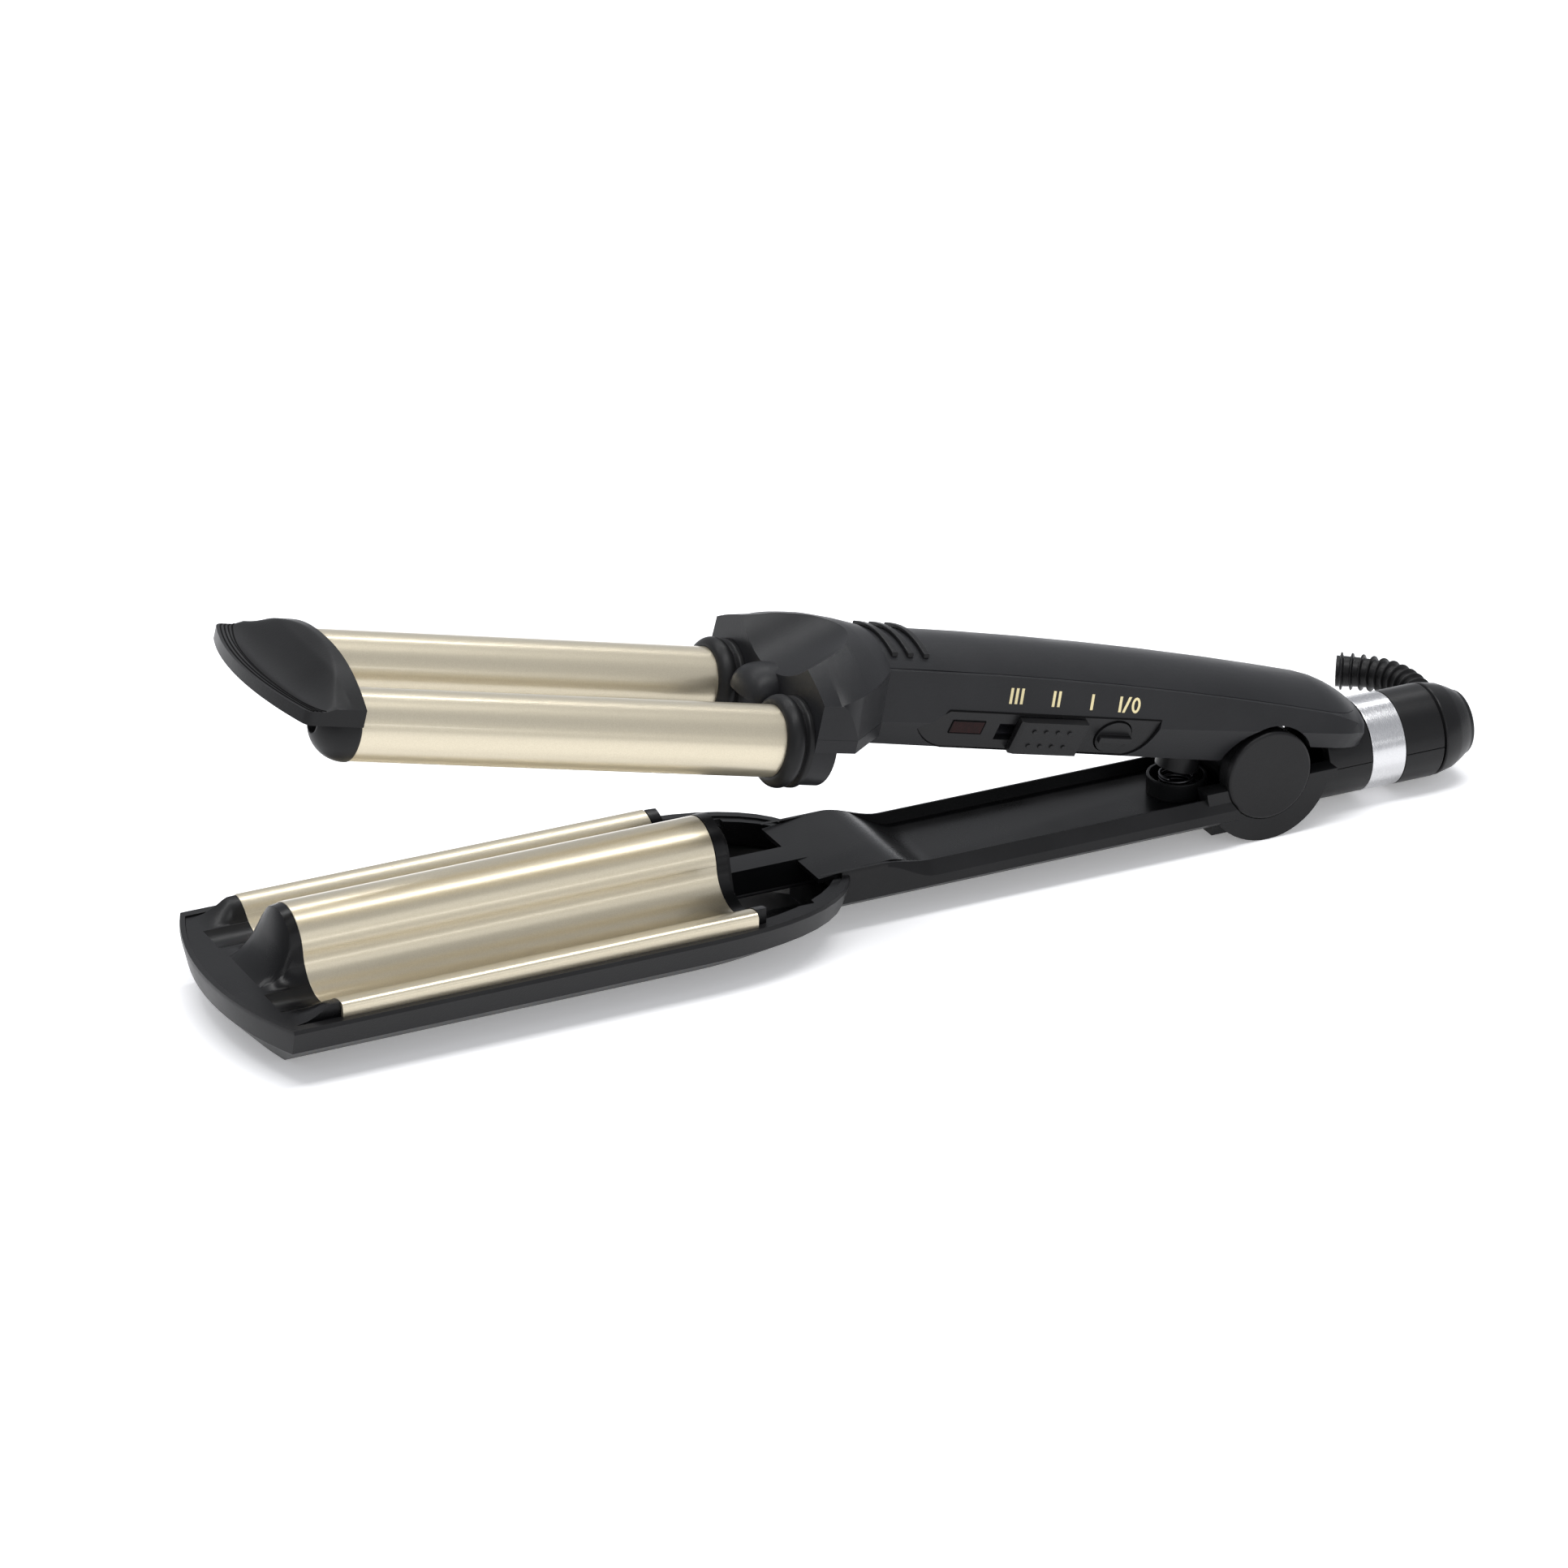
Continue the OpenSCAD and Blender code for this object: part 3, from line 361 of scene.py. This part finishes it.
def arc(cx, cy, r, a0, a1, n):
    """Points of an arc in a plane, with angles in degrees."""
    angles = [math.radians(a0 + (a1 - a0) * i / n) for i in range(n + 1)]
    return [(cx + r * math.cos(a), cy + r * math.sin(a)) for a in angles]


def curve(p0, p1, p2, n):
    """Points of a quadratic curve from p0 to p2, pulled towards p1."""
    return [
        tuple((1 - t) ** 2 * a + 2 * t * (1 - t) * b + t * t * c for a, b, c in zip(p0, p1, p2))
        for t in (i / n for i in range(n + 1))
    ]


def loft_faces(rings, around, closed_path=False):
    """Faces between rings of around points each: a closed ring of rings, or a tube with closed ends."""
    faces = []
    for j in range(rings if closed_path else rings - 1):
        for i in range(around):
            a, b = j * around + i, j * around + (i + 1) % around
            c, d = ((j + 1) % rings) * around + (i + 1) % around, ((j + 1) % rings) * around + i
            faces.append((a, b, c, d))
    if not closed_path:
        faces.append(tuple(range(around - 1, -1, -1)))
        faces.append(tuple((rings - 1) * around + i for i in range(around)))
    return faces


def turned(name, profile, node, y=0.0, z=TAIL_Z, place=LOWER, around=96):
    """A solid of revolution about a line along X that stands for node, from a closed (radius, x) outline."""
    points = []
    for radius, x in profile:
        points += [(x, y + radius * math.cos(a), z + radius * math.sin(a)) for a in turn_angles(around)]
    faces = loft_faces(len(profile), around, closed_path=True)
    piece = new_piece(name, points, faces, node, place, (node,))
    face_outwards(piece)
    return piece


def between(x, stops):
    """Value at x on a line through the (x, value) stops."""
    for (x0, v0), (x1, v1) in zip(stops, stops[1:]):
        if x <= x1:
            return v0 + (v1 - v0) * max(0.0, (x - x0) / (x1 - x0))
    return stops[-1][1]


def turn_angles(around):
    return [2 * math.pi * i / around for i in range(around)]


def smooth_path(points, steps):
    """Points of a smooth line through the given ones."""
    p = [Vector(q) for q in points]
    p = [2 * p[0] - p[1], *p, 2 * p[-1] - p[-2]]
    line = []
    for a, b, c, d in zip(p, p[1:], p[2:], p[3:]):
        for i in range(steps):
            t = i / steps
            bend = (2 * a - 5 * b + 4 * c - d) * t**2 + (3 * b - a - 3 * c + d) * t**3
            line.append(0.5 * (2 * b + (c - a) * t + bend))
    return [*line, p[-2]]


def sharpen(piece, angle):
    """Smooth shading that breaks at edges sharper than angle."""
    smooth_faces(piece)
    piece.data.set_sharp_from_angle(angle=math.radians(angle))


def mark_edges(piece, pairs, shift):
    """Marks the given edges, and the same ones shift further on, for rounding."""
    marks = piece.data.attributes.new("bevel_weight_edge", "FLOAT", "EDGE")
    for edge in piece.data.edges:
        pair = tuple(sorted(edge.vertices))
        if pair in pairs or (pair[0] - shift, pair[1] - shift) in pairs:
            marks.data[edge.index].value = 1.0


def carve(piece, points, faces):
    """Cuts the closed shape given in the closed frame's millimetres out of an upper arm piece, for good."""
    mesh = bpy.data.meshes.new("cutter")
    mesh.from_pydata([OPENED @ (Vector(p) * MM) for p in points], [], faces)
    cutter = bpy.data.objects.new("cutter", mesh)
    bpy.context.scene.collection.objects.link(cutter)
    face_outwards(cutter)
    cut = piece.modifiers.new("cut", "BOOLEAN")
    cut.operation = "DIFFERENCE"
    cut.solver = "EXACT"
    cut.object = cutter
    shaped = bpy.data.meshes.new_from_object(piece.evaluated_get(bpy.context.evaluated_depsgraph_get()))
    piece.modifiers.remove(cut)
    piece.data = shaped
    bpy.data.objects.remove(cutter)


def hoop(centre, radius, first, second, around):
    """A circle about centre in the plane of the unit vectors first and second."""
    return [centre + radius * (math.cos(a) * first + math.sin(a) * second) for a in turn_angles(around)]


def path_frame(line, i, upright):
    """Unit vectors at point i of line: along it, to its side, and upwards from it."""
    ahead = (line[min(i + 1, len(line) - 1)] - line[max(i - 1, 0)]).normalized()
    side = ahead.cross(upright).normalized()
    return ahead, side, side.cross(ahead)


def dark_joint_and_groove_shade(name, line, radius, node):
    """A fine dark line on the upper arm: a thin closed tube along line, which shows as a dark joint, and stands as
    painted shade for a groove that is not cut.
    """
    line = [Vector(p) for p in line]
    around, points = 6, []
    upright = Vector((0, 0.3, 1))  # leaning, so that no stretch of a line is parallel to it
    for i, point in enumerate(line):
        _, side, up = path_frame(line, i, upright)
        points += hoop(point, radius, side, up, around)
    piece = new_piece(name, points, loft_faces(len(line), around), node, OPENED, None, JOINT_BLACK_AND_GROOVE_SHADE)
    face_outwards(piece)


# ---- Heated parts ----


def wave_half(t):
    """Right half of the wave from crest to lip, offset by t into the metal, and where its edge ends."""
    lip_r, edge_r, edge_shift = 8.0, 1.55, 0.25
    hump_r = VALLEY_R + CREST_Z - BARREL_Z
    drop = (BARREL_Y**2 - hump_r**2) / (2 * hump_r)
    hump_z = BARREL_Z - drop
    hump_a = math.degrees(math.atan2(drop, BARREL_Y))
    lip_dz = BARREL_Z - (LIP_Z - lip_r)
    lip_y = BARREL_Y + math.sqrt((VALLEY_R + lip_r) ** 2 - lip_dz**2)
    lip_a = math.degrees(math.atan2(lip_dz, lip_y - BARREL_Y))
    half = arc(0, hump_z, CREST_Z - hump_z - t, 90, hump_a, 28)
    half += arc(BARREL_Y, BARREL_Z, VALLEY_R + t, 180 + hump_a, 360 - lip_a, 36)
    half += arc(lip_y, LIP_Z - lip_r, lip_r - t, 180 - lip_a, 84 + 3 * t, 12)
    half += arc(lip_y + edge_shift, LIP_Z - edge_r, edge_r - t, 66, 0, 8)
    return half, lip_y + edge_shift + edge_r - t


def add_wave_plate():
    """Sheet bent to a wave, standing just off the plate frame's deck."""
    foot = DECK_Z + 0.05
    outer, outer_edge = wave_half(0)
    inner, inner_edge = wave_half(PLATE_T)
    outline = [(-outer_edge, foot)]
    outline += [(-y, z) for y, z in reversed(outer[1:])] + outer
    outline += [(outer_edge, foot), (inner_edge, foot)]
    outline += list(reversed(inner)) + [(-y, z) for y, z in inner[1:]]
    outline += [(-inner_edge, foot)]
    points = [(x, y, z) for x in (-PLATE_X, PLATE_X) for y, z in outline]
    faces = loft_faces(2, len(outline))
    sheet = new_piece("wave_sheet", points, faces, "wave_plate", LOWER, ("wave_plate",))
    face_outwards(sheet)
    round_edges(sheet, 0.22, 2, 40)


def add_barrels():
    """Two tubes with rounded tips, and at their roots the rubber rings, which swell towards the head."""
    tip, root = BARREL_X
    bore = BARREL_R - BARREL_T
    soft = 0.3
    tube = [(bore, tip), (BARREL_R - soft, tip), (BARREL_R, tip + soft), (BARREL_R, root), (bore, root)]
    fit = BARREL_R + 0.05
    bead_r, full_r, length = 2.5, 11.25, 6.5
    ring = [(fit, RUBBER_X)]
    ring += arc(fit + 0.01, RUBBER_X + bead_r, bead_r, -90, 62, 20)
    ring += [(full_r - 0.55, RUBBER_X + 5.1), (full_r - 0.15, RUBBER_X + 5.3)]
    ring += [(full_r, RUBBER_X + 5.6), (full_r, RUBBER_X + length), (fit, RUBBER_X + length)]
    for side, name in ((-1, "near"), (1, "far")):
        y = side * BARREL_Y
        tube_piece = turned(f"barrel_tube_{name}", tube, f"barrel_{name}", y, BARREL_Z, OPENED, 144)
        tube_piece.modifiers.new("normals", "WEIGHTED_NORMAL").weight = 60
        ring_piece = turned(f"rubber_roll_{name}", ring, f"barrel_ring_{name}", y, BARREL_Z, OPENED, 96)
        round_edges(ring_piece, 0.2, 2, 50)


# ---- Head ----

HEAD_X = (65.9, 90.9)
HEAD_BASE_Z = 28.0
HEAD_FOOT = [(HEAD_X[0], 30), (77.5, 29.6), (HEAD_X[1], 16.6)]  # half width of the foot along X
HEAD_CROWN = [(HEAD_X[0], 44.3), (72, 45.7), (80, 46.5), (86, 46.3), (HEAD_X[1], 45.8)]  # height along X
TAPER_X = 71  # behind it the sides draw in towards the handle
EDGE_Z = 36.6  # the upper crease of the head's side, which climbs by EDGE_CLIMB and turns in by EDGE_TURN
EDGE_CLIMB = 4.6
EDGE_TURN = 14.2
SADDLE_R = 31.3
SADDLE_SLOPE = math.radians(33)
SADDLE_Z = 34.6  # its lowest point at the head's front


def head_half_ring(x):
    """Right half of the head at x: foot, the two creases of its side, and the domed top up to the middle."""
    behind = max(0.0, x - TAPER_X)
    turn = behind / (HEAD_X[1] - TAPER_X)
    foot_y = between(x, HEAD_FOOT)

    # The upper crease leans in a little along the barrels' roots, then turns in towards the handle
    edge_y = 29.4 - EDGE_TURN * turn**1.7 if behind else 29.8 - 0.08 * (x - HEAD_X[0])
    edge_z = EDGE_Z + EDGE_CLIMB * turn**0.75

    # The lower crease starts at the edge and falls to the foot
    fall = min(1.0, behind / 6.5)
    crease_z = edge_z - (edge_z - HEAD_BASE_Z) * fall**1.4
    crease_y = min(29.7, max(foot_y, edge_y) if fall < 1 else foot_y)

    crown = between(x, HEAD_CROWN)
    drop = crown - edge_z
    bend = (edge_y**2 + drop**2) / (2 * drop)
    ring = [(foot_y, HEAD_BASE_Z), (crease_y, crease_z), (edge_y, edge_z)]
    steps = 26
    for i in range(1, steps + 1):
        y = edge_y * (1 - i / steps)
        ring.append((y, crown - bend + math.sqrt(bend**2 - y * y)))
    return ring


def add_head_shell():
    """The faceted head, with the spoon-shaped saddle cut out of its front."""
    slices = 50
    stations = [HEAD_X[0] + (HEAD_X[1] - HEAD_X[0]) * i / slices for i in range(slices + 1)]
    points = []
    for x in stations:
        half = head_half_ring(x)
        points += [(x, y, z) for y, z in half] + [(x, -y, z) for y, z in reversed(half[:-1])]
    faces = loft_faces(len(stations), len(points) // len(stations))
    head = new_piece("head_shell", points, faces, "head_cover", OPENED, ("head_cover",))
    face_outwards(head)

    along = Vector((math.cos(SADDLE_SLOPE), 0, math.sin(SADDLE_SLOPE)))
    up = Vector((-math.sin(SADDLE_SLOPE), 0, math.cos(SADDLE_SLOPE)))
    centre = Vector((HEAD_X[0], 0, SADDLE_Z)) + SADDLE_R * up
    around = 160
    cutter = []
    for run in (-30, 50):
        cutter += hoop(centre + run * along, SADDLE_R, Vector((0, 1, 0)), up, around)
    carve(head, cutter, loft_faces(2, around))
    sharpen(head, 16)


def add_head_boss():
    """The blunt rounded boss that reaches forward from the head between the barrels."""
    root_x, reach, half_width, height = 72, 13.3, 8.2, 7.9
    slices, turns = 26, 28
    points = []
    for k in range(slices + 1):
        share = 0.995 * max(0.0, math.cos(math.radians(90) * k / slices))
        half = half_width * math.sqrt(1 - share**9)
        rise = height * math.sqrt(1 - share**5)
        for i in range(turns + 1):
            a = math.pi * i / turns
            z = HEAD_BASE_Z + rise * math.sin(a) ** 0.85
            points.append((root_x - reach * share, half * math.cos(a), z))
    boss = new_piece("head_boss", points, loft_faces(slices + 1, turns + 1), "head_cover", OPENED)
    face_outwards(boss)
    sharpen(boss, 40)


# ---- Tip cap ----

CAP_BACK = -55.2
CAP_HALF = 28.3
CAP_DEPTH = 20.4
FRONT_R = 75
CORNER_R = 1.5
LIP_Z_TOP = 29.3
RIDGE_Z = 30.1  # at the cap's sides; the ridge is RIDGE_RISE higher in the middle
RIDGE_RISE = 7.6
BOWL_DEPTH = 1.9
UNDERSIDE_Z = 26.2
LIP_END = 0.17  # share of the cap's depth where the lip ends and the scoop starts to climb
GROOVES = (1.1, 2.15, 3.2, 4.25)  # behind the front edge
NOSE_RECESS = (-61.8, 12.6, 5.2)  # front, half width and height of the recess over the plate frame's nose


def cap_front(y):
    """The lip's front edge: a long arc with rounded corners."""
    corner = max(0.0, abs(y) - (CAP_HALF - CORNER_R))
    bow = FRONT_R - math.sqrt(FRONT_R**2 - y * y)
    return CAP_BACK - CAP_DEPTH + bow + CORNER_R - math.sqrt(CORNER_R**2 - corner**2)


def cap_top(x, y):
    """The top of the cap: the scoop between the lip and the rear ridge, closed by a rim at both sides."""
    side = abs(y) / CAP_HALF
    share = (x - cap_front(y)) / (CAP_BACK - cap_front(y))
    lip = LIP_Z_TOP - 0.1 * side * side
    ridge = RIDGE_Z + RIDGE_RISE * (1 - side**2.3)
    rim = 0.90 - 0.46 * side**2.4
    t = min(1.0, max(0.0, (share - LIP_END) / (rim - LIP_END)))
    eased = t**1.3
    climb = 0.45 * t**2.2 + 0.55 * eased * eased * (3 - 2 * eased)
    bowl = BOWL_DEPTH * (1 - side**4) * math.sin(math.pi * min(1, max(0, (share - 0.15) / 0.6)))
    return lip + (ridge - lip) * climb - bowl


def cap_underside(x, y):
    """The slightly bowed underside, with a recess at the back that clears the plate frame's middle nose."""
    front, half, height = NOSE_RECESS
    ramp = 1.2
    inwards = min(1.0, max(0.0, (x - front) / ramp)) * min(1.0, max(0.0, (half - abs(y)) / ramp))
    return UNDERSIDE_Z - 0.4 * (y / CAP_HALF) ** 2 + height * inwards


def add_cap_body():
    """A block between cap_top and cap_underside, on rows that follow the front edge to a straight back."""
    columns, slices = 40, 36
    across = [CAP_HALF * math.sin(math.radians(90) * i / columns) for i in range(-columns, columns + 1)]
    band = [0.0, 0.6, 1.2, 2.0, 3.0, 4.0]
    rows = [(step, 0.0) for step in band] + [(band[-1], (i + 1) / slices) for i in range(slices)]
    top, bottom = [], []
    for step, share in rows:
        for y in across:
            x = cap_front(y) + step
            x += (CAP_BACK - x) * share
            top.append((x, y, cap_top(x, y)))
            bottom.append((x, y, cap_underside(x, y)))
    wide, deep = len(across), len(rows)
    count = wide * deep
    faces = []
    for i in range(deep - 1):
        for j in range(wide - 1):
            a = i * wide + j
            b = a + wide
            faces += [(a, a + 1, b + 1, b), (count + a, count + b, count + b + 1, count + a + 1)]
    front = list(range(wide))
    far = [i * wide + wide - 1 for i in range(1, deep)]
    back = [(deep - 1) * wide + j for j in range(wide - 2, -1, -1)]
    near = [i * wide for i in range(deep - 2, 0, -1)]
    rim = front + far + back + near
    sides = list(zip(rim, rim[1:] + rim[:1]))
    faces += [(a, count + a, count + b, b) for a, b in sides]
    cap = new_piece("cap_lip", top + bottom, faces, "tip_cap", OPENED, ("tip_cap",))
    face_outwards(cap)
    mark_edges(cap, {tuple(sorted(pair)) for pair in sides}, count)
    rounding = cap.modifiers.new("rounding", "BEVEL")
    rounding.limit_method = "WEIGHT"
    rounding.width = 0.55 * MM
    rounding.segments = 3
    cap.modifiers.new("normals", "WEIGHTED_NORMAL").weight = 55


def add_cap_groove_shade():
    """Four fine lines along the lip: painted shade for its grooves, which are not cut into the cap."""
    half, columns = 27.9, 40
    for i, behind in enumerate(GROOVES):
        line = []
        for k in range(-columns, columns + 1):
            y = half * k / columns
            x = cap_front(y) + behind
            line.append((x, y, cap_top(x, y) - 0.06))
        dark_joint_and_groove_shade(f"lip_groove_shade_{i + 1}", line, 0.24, "tip_cap")


def add_cap_domes():
    """The round end pieces in front of the barrels, each with a small round hole in its tip."""
    dome_r, hole, hole_x = 9.1, 2.4, CAP_BACK - 3.6
    dome = [(0.01, hole_x), (hole, hole_x), (hole, CAP_BACK - math.sqrt(dome_r**2 - (hole + 0.3) ** 2))]
    steps = 18
    for i in range(steps + 1):
        a = math.radians(18 + 72 * i / steps)
        dome.append((dome_r * math.sin(a), CAP_BACK - dome_r * math.cos(a)))
    dome.append((0.01, CAP_BACK))
    for side, name in ((-1, "near"), (1, "far")):
        turned(f"cap_dome_{name}", dome, "tip_cap", side * BARREL_Y, BARREL_Z, OPENED, 72)


# ---- Tail, swivel and boot ----


def add_steel_band():
    front, back = RING_X
    outer, inner = TAIL_R + 0.15, TAIL_R - 1.25
    band = turned("steel_band", [(inner, front), (outer, front), (outer, back), (inner, back)], "steel_ring")
    round_edges(band, 0.25, 3, 50)


def add_swivel_cone():
    """The turning end: a journal inside the collar, then a flange and a waisted cone."""
    journal_r, flange_r, flange_edge, end_edge = 6.4, 11.6, 0.5, 1.2
    front = COLLAR_X + 0.7
    cone = [(0.01, COLLAR_X - 2.4), (journal_r, COLLAR_X - 2.4), (journal_r, front), (flange_r, front)]
    cone += arc(flange_r, front + flange_edge, flange_edge, -90, 10, 6)
    cone += curve((11.2, 267.0), (9.7, 270.3), (8.6, CONE_X - 1.3), 8)
    cone += arc(7.4, CONE_X - end_edge, end_edge, 20, 90, 6)
    cone += [(5.4, CONE_X - 0.25), (0.01, CONE_X - 0.35)]
    turned("swivel_end", cone, "swivel_cone")


BOOT_PATH = [
    (268, 6, 13.2),
    (270.2, 12, 13.4),
    (271.6, 18, 13.6),
    (271.8, 24, 13.7),
    (270.6, 29.6, 13.7),
    (268, 34.4, 13.4),
    (264.4, 38.2, 13.2),
    (260.2, 41, 13.2),
]


def boot_radius(run, length):
    """The boot's radius at run: a smooth neck, then ribs that grow towards the free end."""
    neck, pitch, rib_share, edge, depth = 8.5, 2.75, 0.74, 0.10, 0.95
    root_r, growth = 3.65, 1.40
    full = root_r + growth * run / length
    if run <= neck:
        return full - depth * 0.85 * min(1, run / neck + 0.4)
    phase = ((length - run) / pitch) % 1
    past_rib = abs(phase - 0.5) - 0.5 + rib_share / 2
    rib = min(1, max(0, 0.5 - past_rib / edge))
    return full - depth * (1 - rib)


def add_boot():
    """The cord boot with its ribs, and the bore for the cord."""
    line = smooth_path(BOOT_PATH, 40)
    length = sum((b - a).length for a, b in zip(line, line[1:]))
    around = 32
    points, run = [], 0.0
    for i, point in enumerate(line):
        run += (point - line[i - 1]).length if i else 0
        ahead, side, up = path_frame(line, i, Vector((0, 0, 1)))
        points += hoop(point, boot_radius(run, length), side, up, around)
    for depth in (0, 8):
        points += hoop(point - depth * ahead, CORD_R, side, up, around)
    faces = loft_faces(len(points) // around, around)
    boot = new_piece("ribbed_boot", points, faces, "cord_boot", LOWER, ("cord_boot",))
    face_outwards(boot)
    boot.modifiers.new("normals", "WEIGHTED_NORMAL").weight = 50


# ---- Return spring ----


def add_return_spring():
    """A coil with flat end turns."""
    low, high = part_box("return_spring")
    centre = (low + high) / 2 / MM
    wire, turns, per_turn, around, flat = 0.42, 3.6, 36, 10, 0.12
    coil_r = (high.x - low.x) / 2 / MM - wire
    bottom, top = low.z / MM + wire, high.z / MM - wire
    count = int(turns * per_turn)
    upright = Vector((0, 0, 1))
    points = []
    for i in range(count + 1):
        t = i / count
        a = 2 * math.pi * turns * t
        outward = Vector((math.cos(a), math.sin(a), 0))
        z = bottom + (top - bottom) * min(1, max(0, (t - flat) / (1 - 2 * flat)))
        middle = Vector((centre.x, 0, z)) + coil_r * outward
        points += hoop(middle, wire, outward, upright, around)
    faces = loft_faces(count + 1, around)
    spring = new_piece("spring_coil", points, faces, "return_spring", LOWER, ("return_spring",), SHADED_SPRING_STEEL)
    face_outwards(spring)
    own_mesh(spring)


# ---- Setting marks ----


MARK_WIDTH = 0.75
MARK_HEIGHT = 4.0
BAR_PITCH = 1.55
# Middle along the handle, height, and number of bars
BAR_GROUPS = ((128.2, 36.1, 3), (139.8, 35.8, 2), (150.3, 35.4, 1))


def flank_y(x, z):
    """Where the near upright side of the upper handle is, in the closed frame, as in the CAD source."""
    start, length, slope = 88, 139, 0.0138
    along = max(0.0, (x - start) / length)
    seam_z = 45.3 - 6.9 * along**2.2 - 4.2
    facet_z = 28.2 + (x - 91) * slope
    return -(15.0 + 1.4 * (seam_z - z) / (seam_z - facet_z))


def bar_outline(x, z, lean=0.0):
    """A bar with its middle at x, z; its top leans back by lean and its foot forward."""
    half, up = MARK_WIDTH / 2, MARK_HEIGHT / 2
    return [
        (x - half - lean, z - up),
        (x + half - lean, z - up),
        (x + half + lean, z + up),
        (x - half + lean, z + up),
    ]


def ring_outlines(x, z, outer, inner, steps=20):
    """An oval ring as short four-sided pieces between the (half width, half height) of outer and inner."""
    outlines = []
    for i in range(steps):
        corners = []
        for k, (half, up) in ((i, inner), (i, outer), (i + 1, outer), (i + 1, inner)):
            a = 2 * math.pi * k / steps
            corners.append((x + half * math.cos(a), z + up * math.sin(a)))
        outlines.append(corners)
    return outlines


def add_marks():
    """Plain printed marks: three, two and one bars, then a bar, a slash and a ring."""
    outlines = []
    for middle, z, count in BAR_GROUPS:
        for i in range(count):
            outlines.append(bar_outline(middle + (i - (count - 1) / 2) * BAR_PITCH, z))
    outlines += [bar_outline(158.6, 35.15), bar_outline(160.5, 35.1, 0.75)]
    outlines += ring_outlines(163.2, 35.05, (1.25, 2.0), (0.6, 1.35))

    proud, sunk = 0.05, 0.2
    points, faces = [], []
    for outline in outlines:
        start, n = len(points), len(outline)
        for offset in (-proud, sunk):
            points += [(x, flank_y(x, z) + offset, z) for x, z in outline]
        front = [start + i for i in range(n)]
        back = [start + n + i for i in range(n)]
        faces += [tuple(front), tuple(reversed(back))]
        faces += zip(front, back, back[1:] + back[:1], front[1:] + front[:1])
    marks = new_piece("setting_marks", points, faces, "upper_base", OPENED, None, MARK_PAINT, smooth=False)
    face_outwards(marks)


# ---- Seams ----

PANEL_Y, PANEL_Z, PANEL_TILT = -14.15, 26.0, math.radians(20)


def on_panel(x, up, out=0.0):
    """A point of the switch panel's face, by its distance along the handle, up the face and out of it."""
    y, z = -out, up
    return (
        x,
        PANEL_Y + y * math.cos(PANEL_TILT) - z * math.sin(PANEL_TILT),
        PANEL_Z + y * math.sin(PANEL_TILT) + z * math.cos(PANEL_TILT),
    )


def with_points(outline, shares):
    """The outline with points at the given shares of each of its stretches, and its last point."""
    line = []
    for (x0, z0), (x1, z1) in zip(outline, outline[1:]):
        line += [(x0 + (x1 - x0) * t, z0 + (z1 - z0) * t) for t in shares]
    return [*line, outline[-1]]


def add_seams():
    """The joints around the switch panel and around the indicator lens, along the panel and up its face."""
    panel = curve((103.4, 2.2), (107, 3.4), (110, 6.1), 8)
    panel += curve((171.5, 5.8), (171.2, -4.4), (164.5, -5.9), 12)
    panel += curve((111.5, -5.6), (106, -4.6), (102.3, 0.6), 10)
    panel.append(panel[0])
    line = with_points(panel, (0, 0.5))
    dark_joint_and_groove_shade("panel_seam", [on_panel(x, up) for x, up in line], 0.22, "switch_panel")

    left, right, foot, head = 112.1, 121.3, -0.9, 3.0
    lens = [(left, foot), (right, foot), (right, head), (left, head), (left, foot)]
    line = with_points(lens, (0, 0.03, 0.97))
    dark_joint_and_groove_shade("lens_seam", [on_panel(x, up, 0.05) for x, up in line], 0.22, "switch_panel")


# ---- Build ----

# Edge rounding in millimetres; nodes that aren't listed get FINE_EDGE
FINE_EDGE = 0.12
ROUNDED = {
    "lower_shell": 0.5,
    "plate_frame": 0.35,
    "tail_cover": 0.3,
    "collar_upper": 0.25,
    "collar_lower": 0.25,
    "spring_cup": 0.2,
    "hinge_cap_near": 0.35,
    "hinge_cap_far": 0.35,
    "upper_base": 0.45,
    "handle_cover": 0.4,
    "grip_ribs": 0.3,
    "switch_panel": 0.3,
    "temp_slider": 0.2,
    "power_button": 0.2,
    "indicator_lens": 0.15,
}
# CAD nodes that finer pieces stand for
REPLACED = {"wave_plate", "barrel_near", "barrel_far", "barrel_ring_near", "barrel_ring_far", "steel_ring"}
REPLACED |= {"swivel_cone", "cord_boot", "return_spring", "head_cover", "tip_cap"}

add_camera()
add_studio()
for node in NODES:
    if node not in REPLACED:
        refine_cad(node, ROUNDED.get(node, FINE_EDGE))
add_wave_plate()
add_barrels()
add_head_shell()
add_head_boss()
add_cap_body()
add_cap_groove_shade()
add_cap_domes()
add_steel_band()
add_swivel_cone()
add_boot()
add_return_spring()
add_marks()
add_seams()
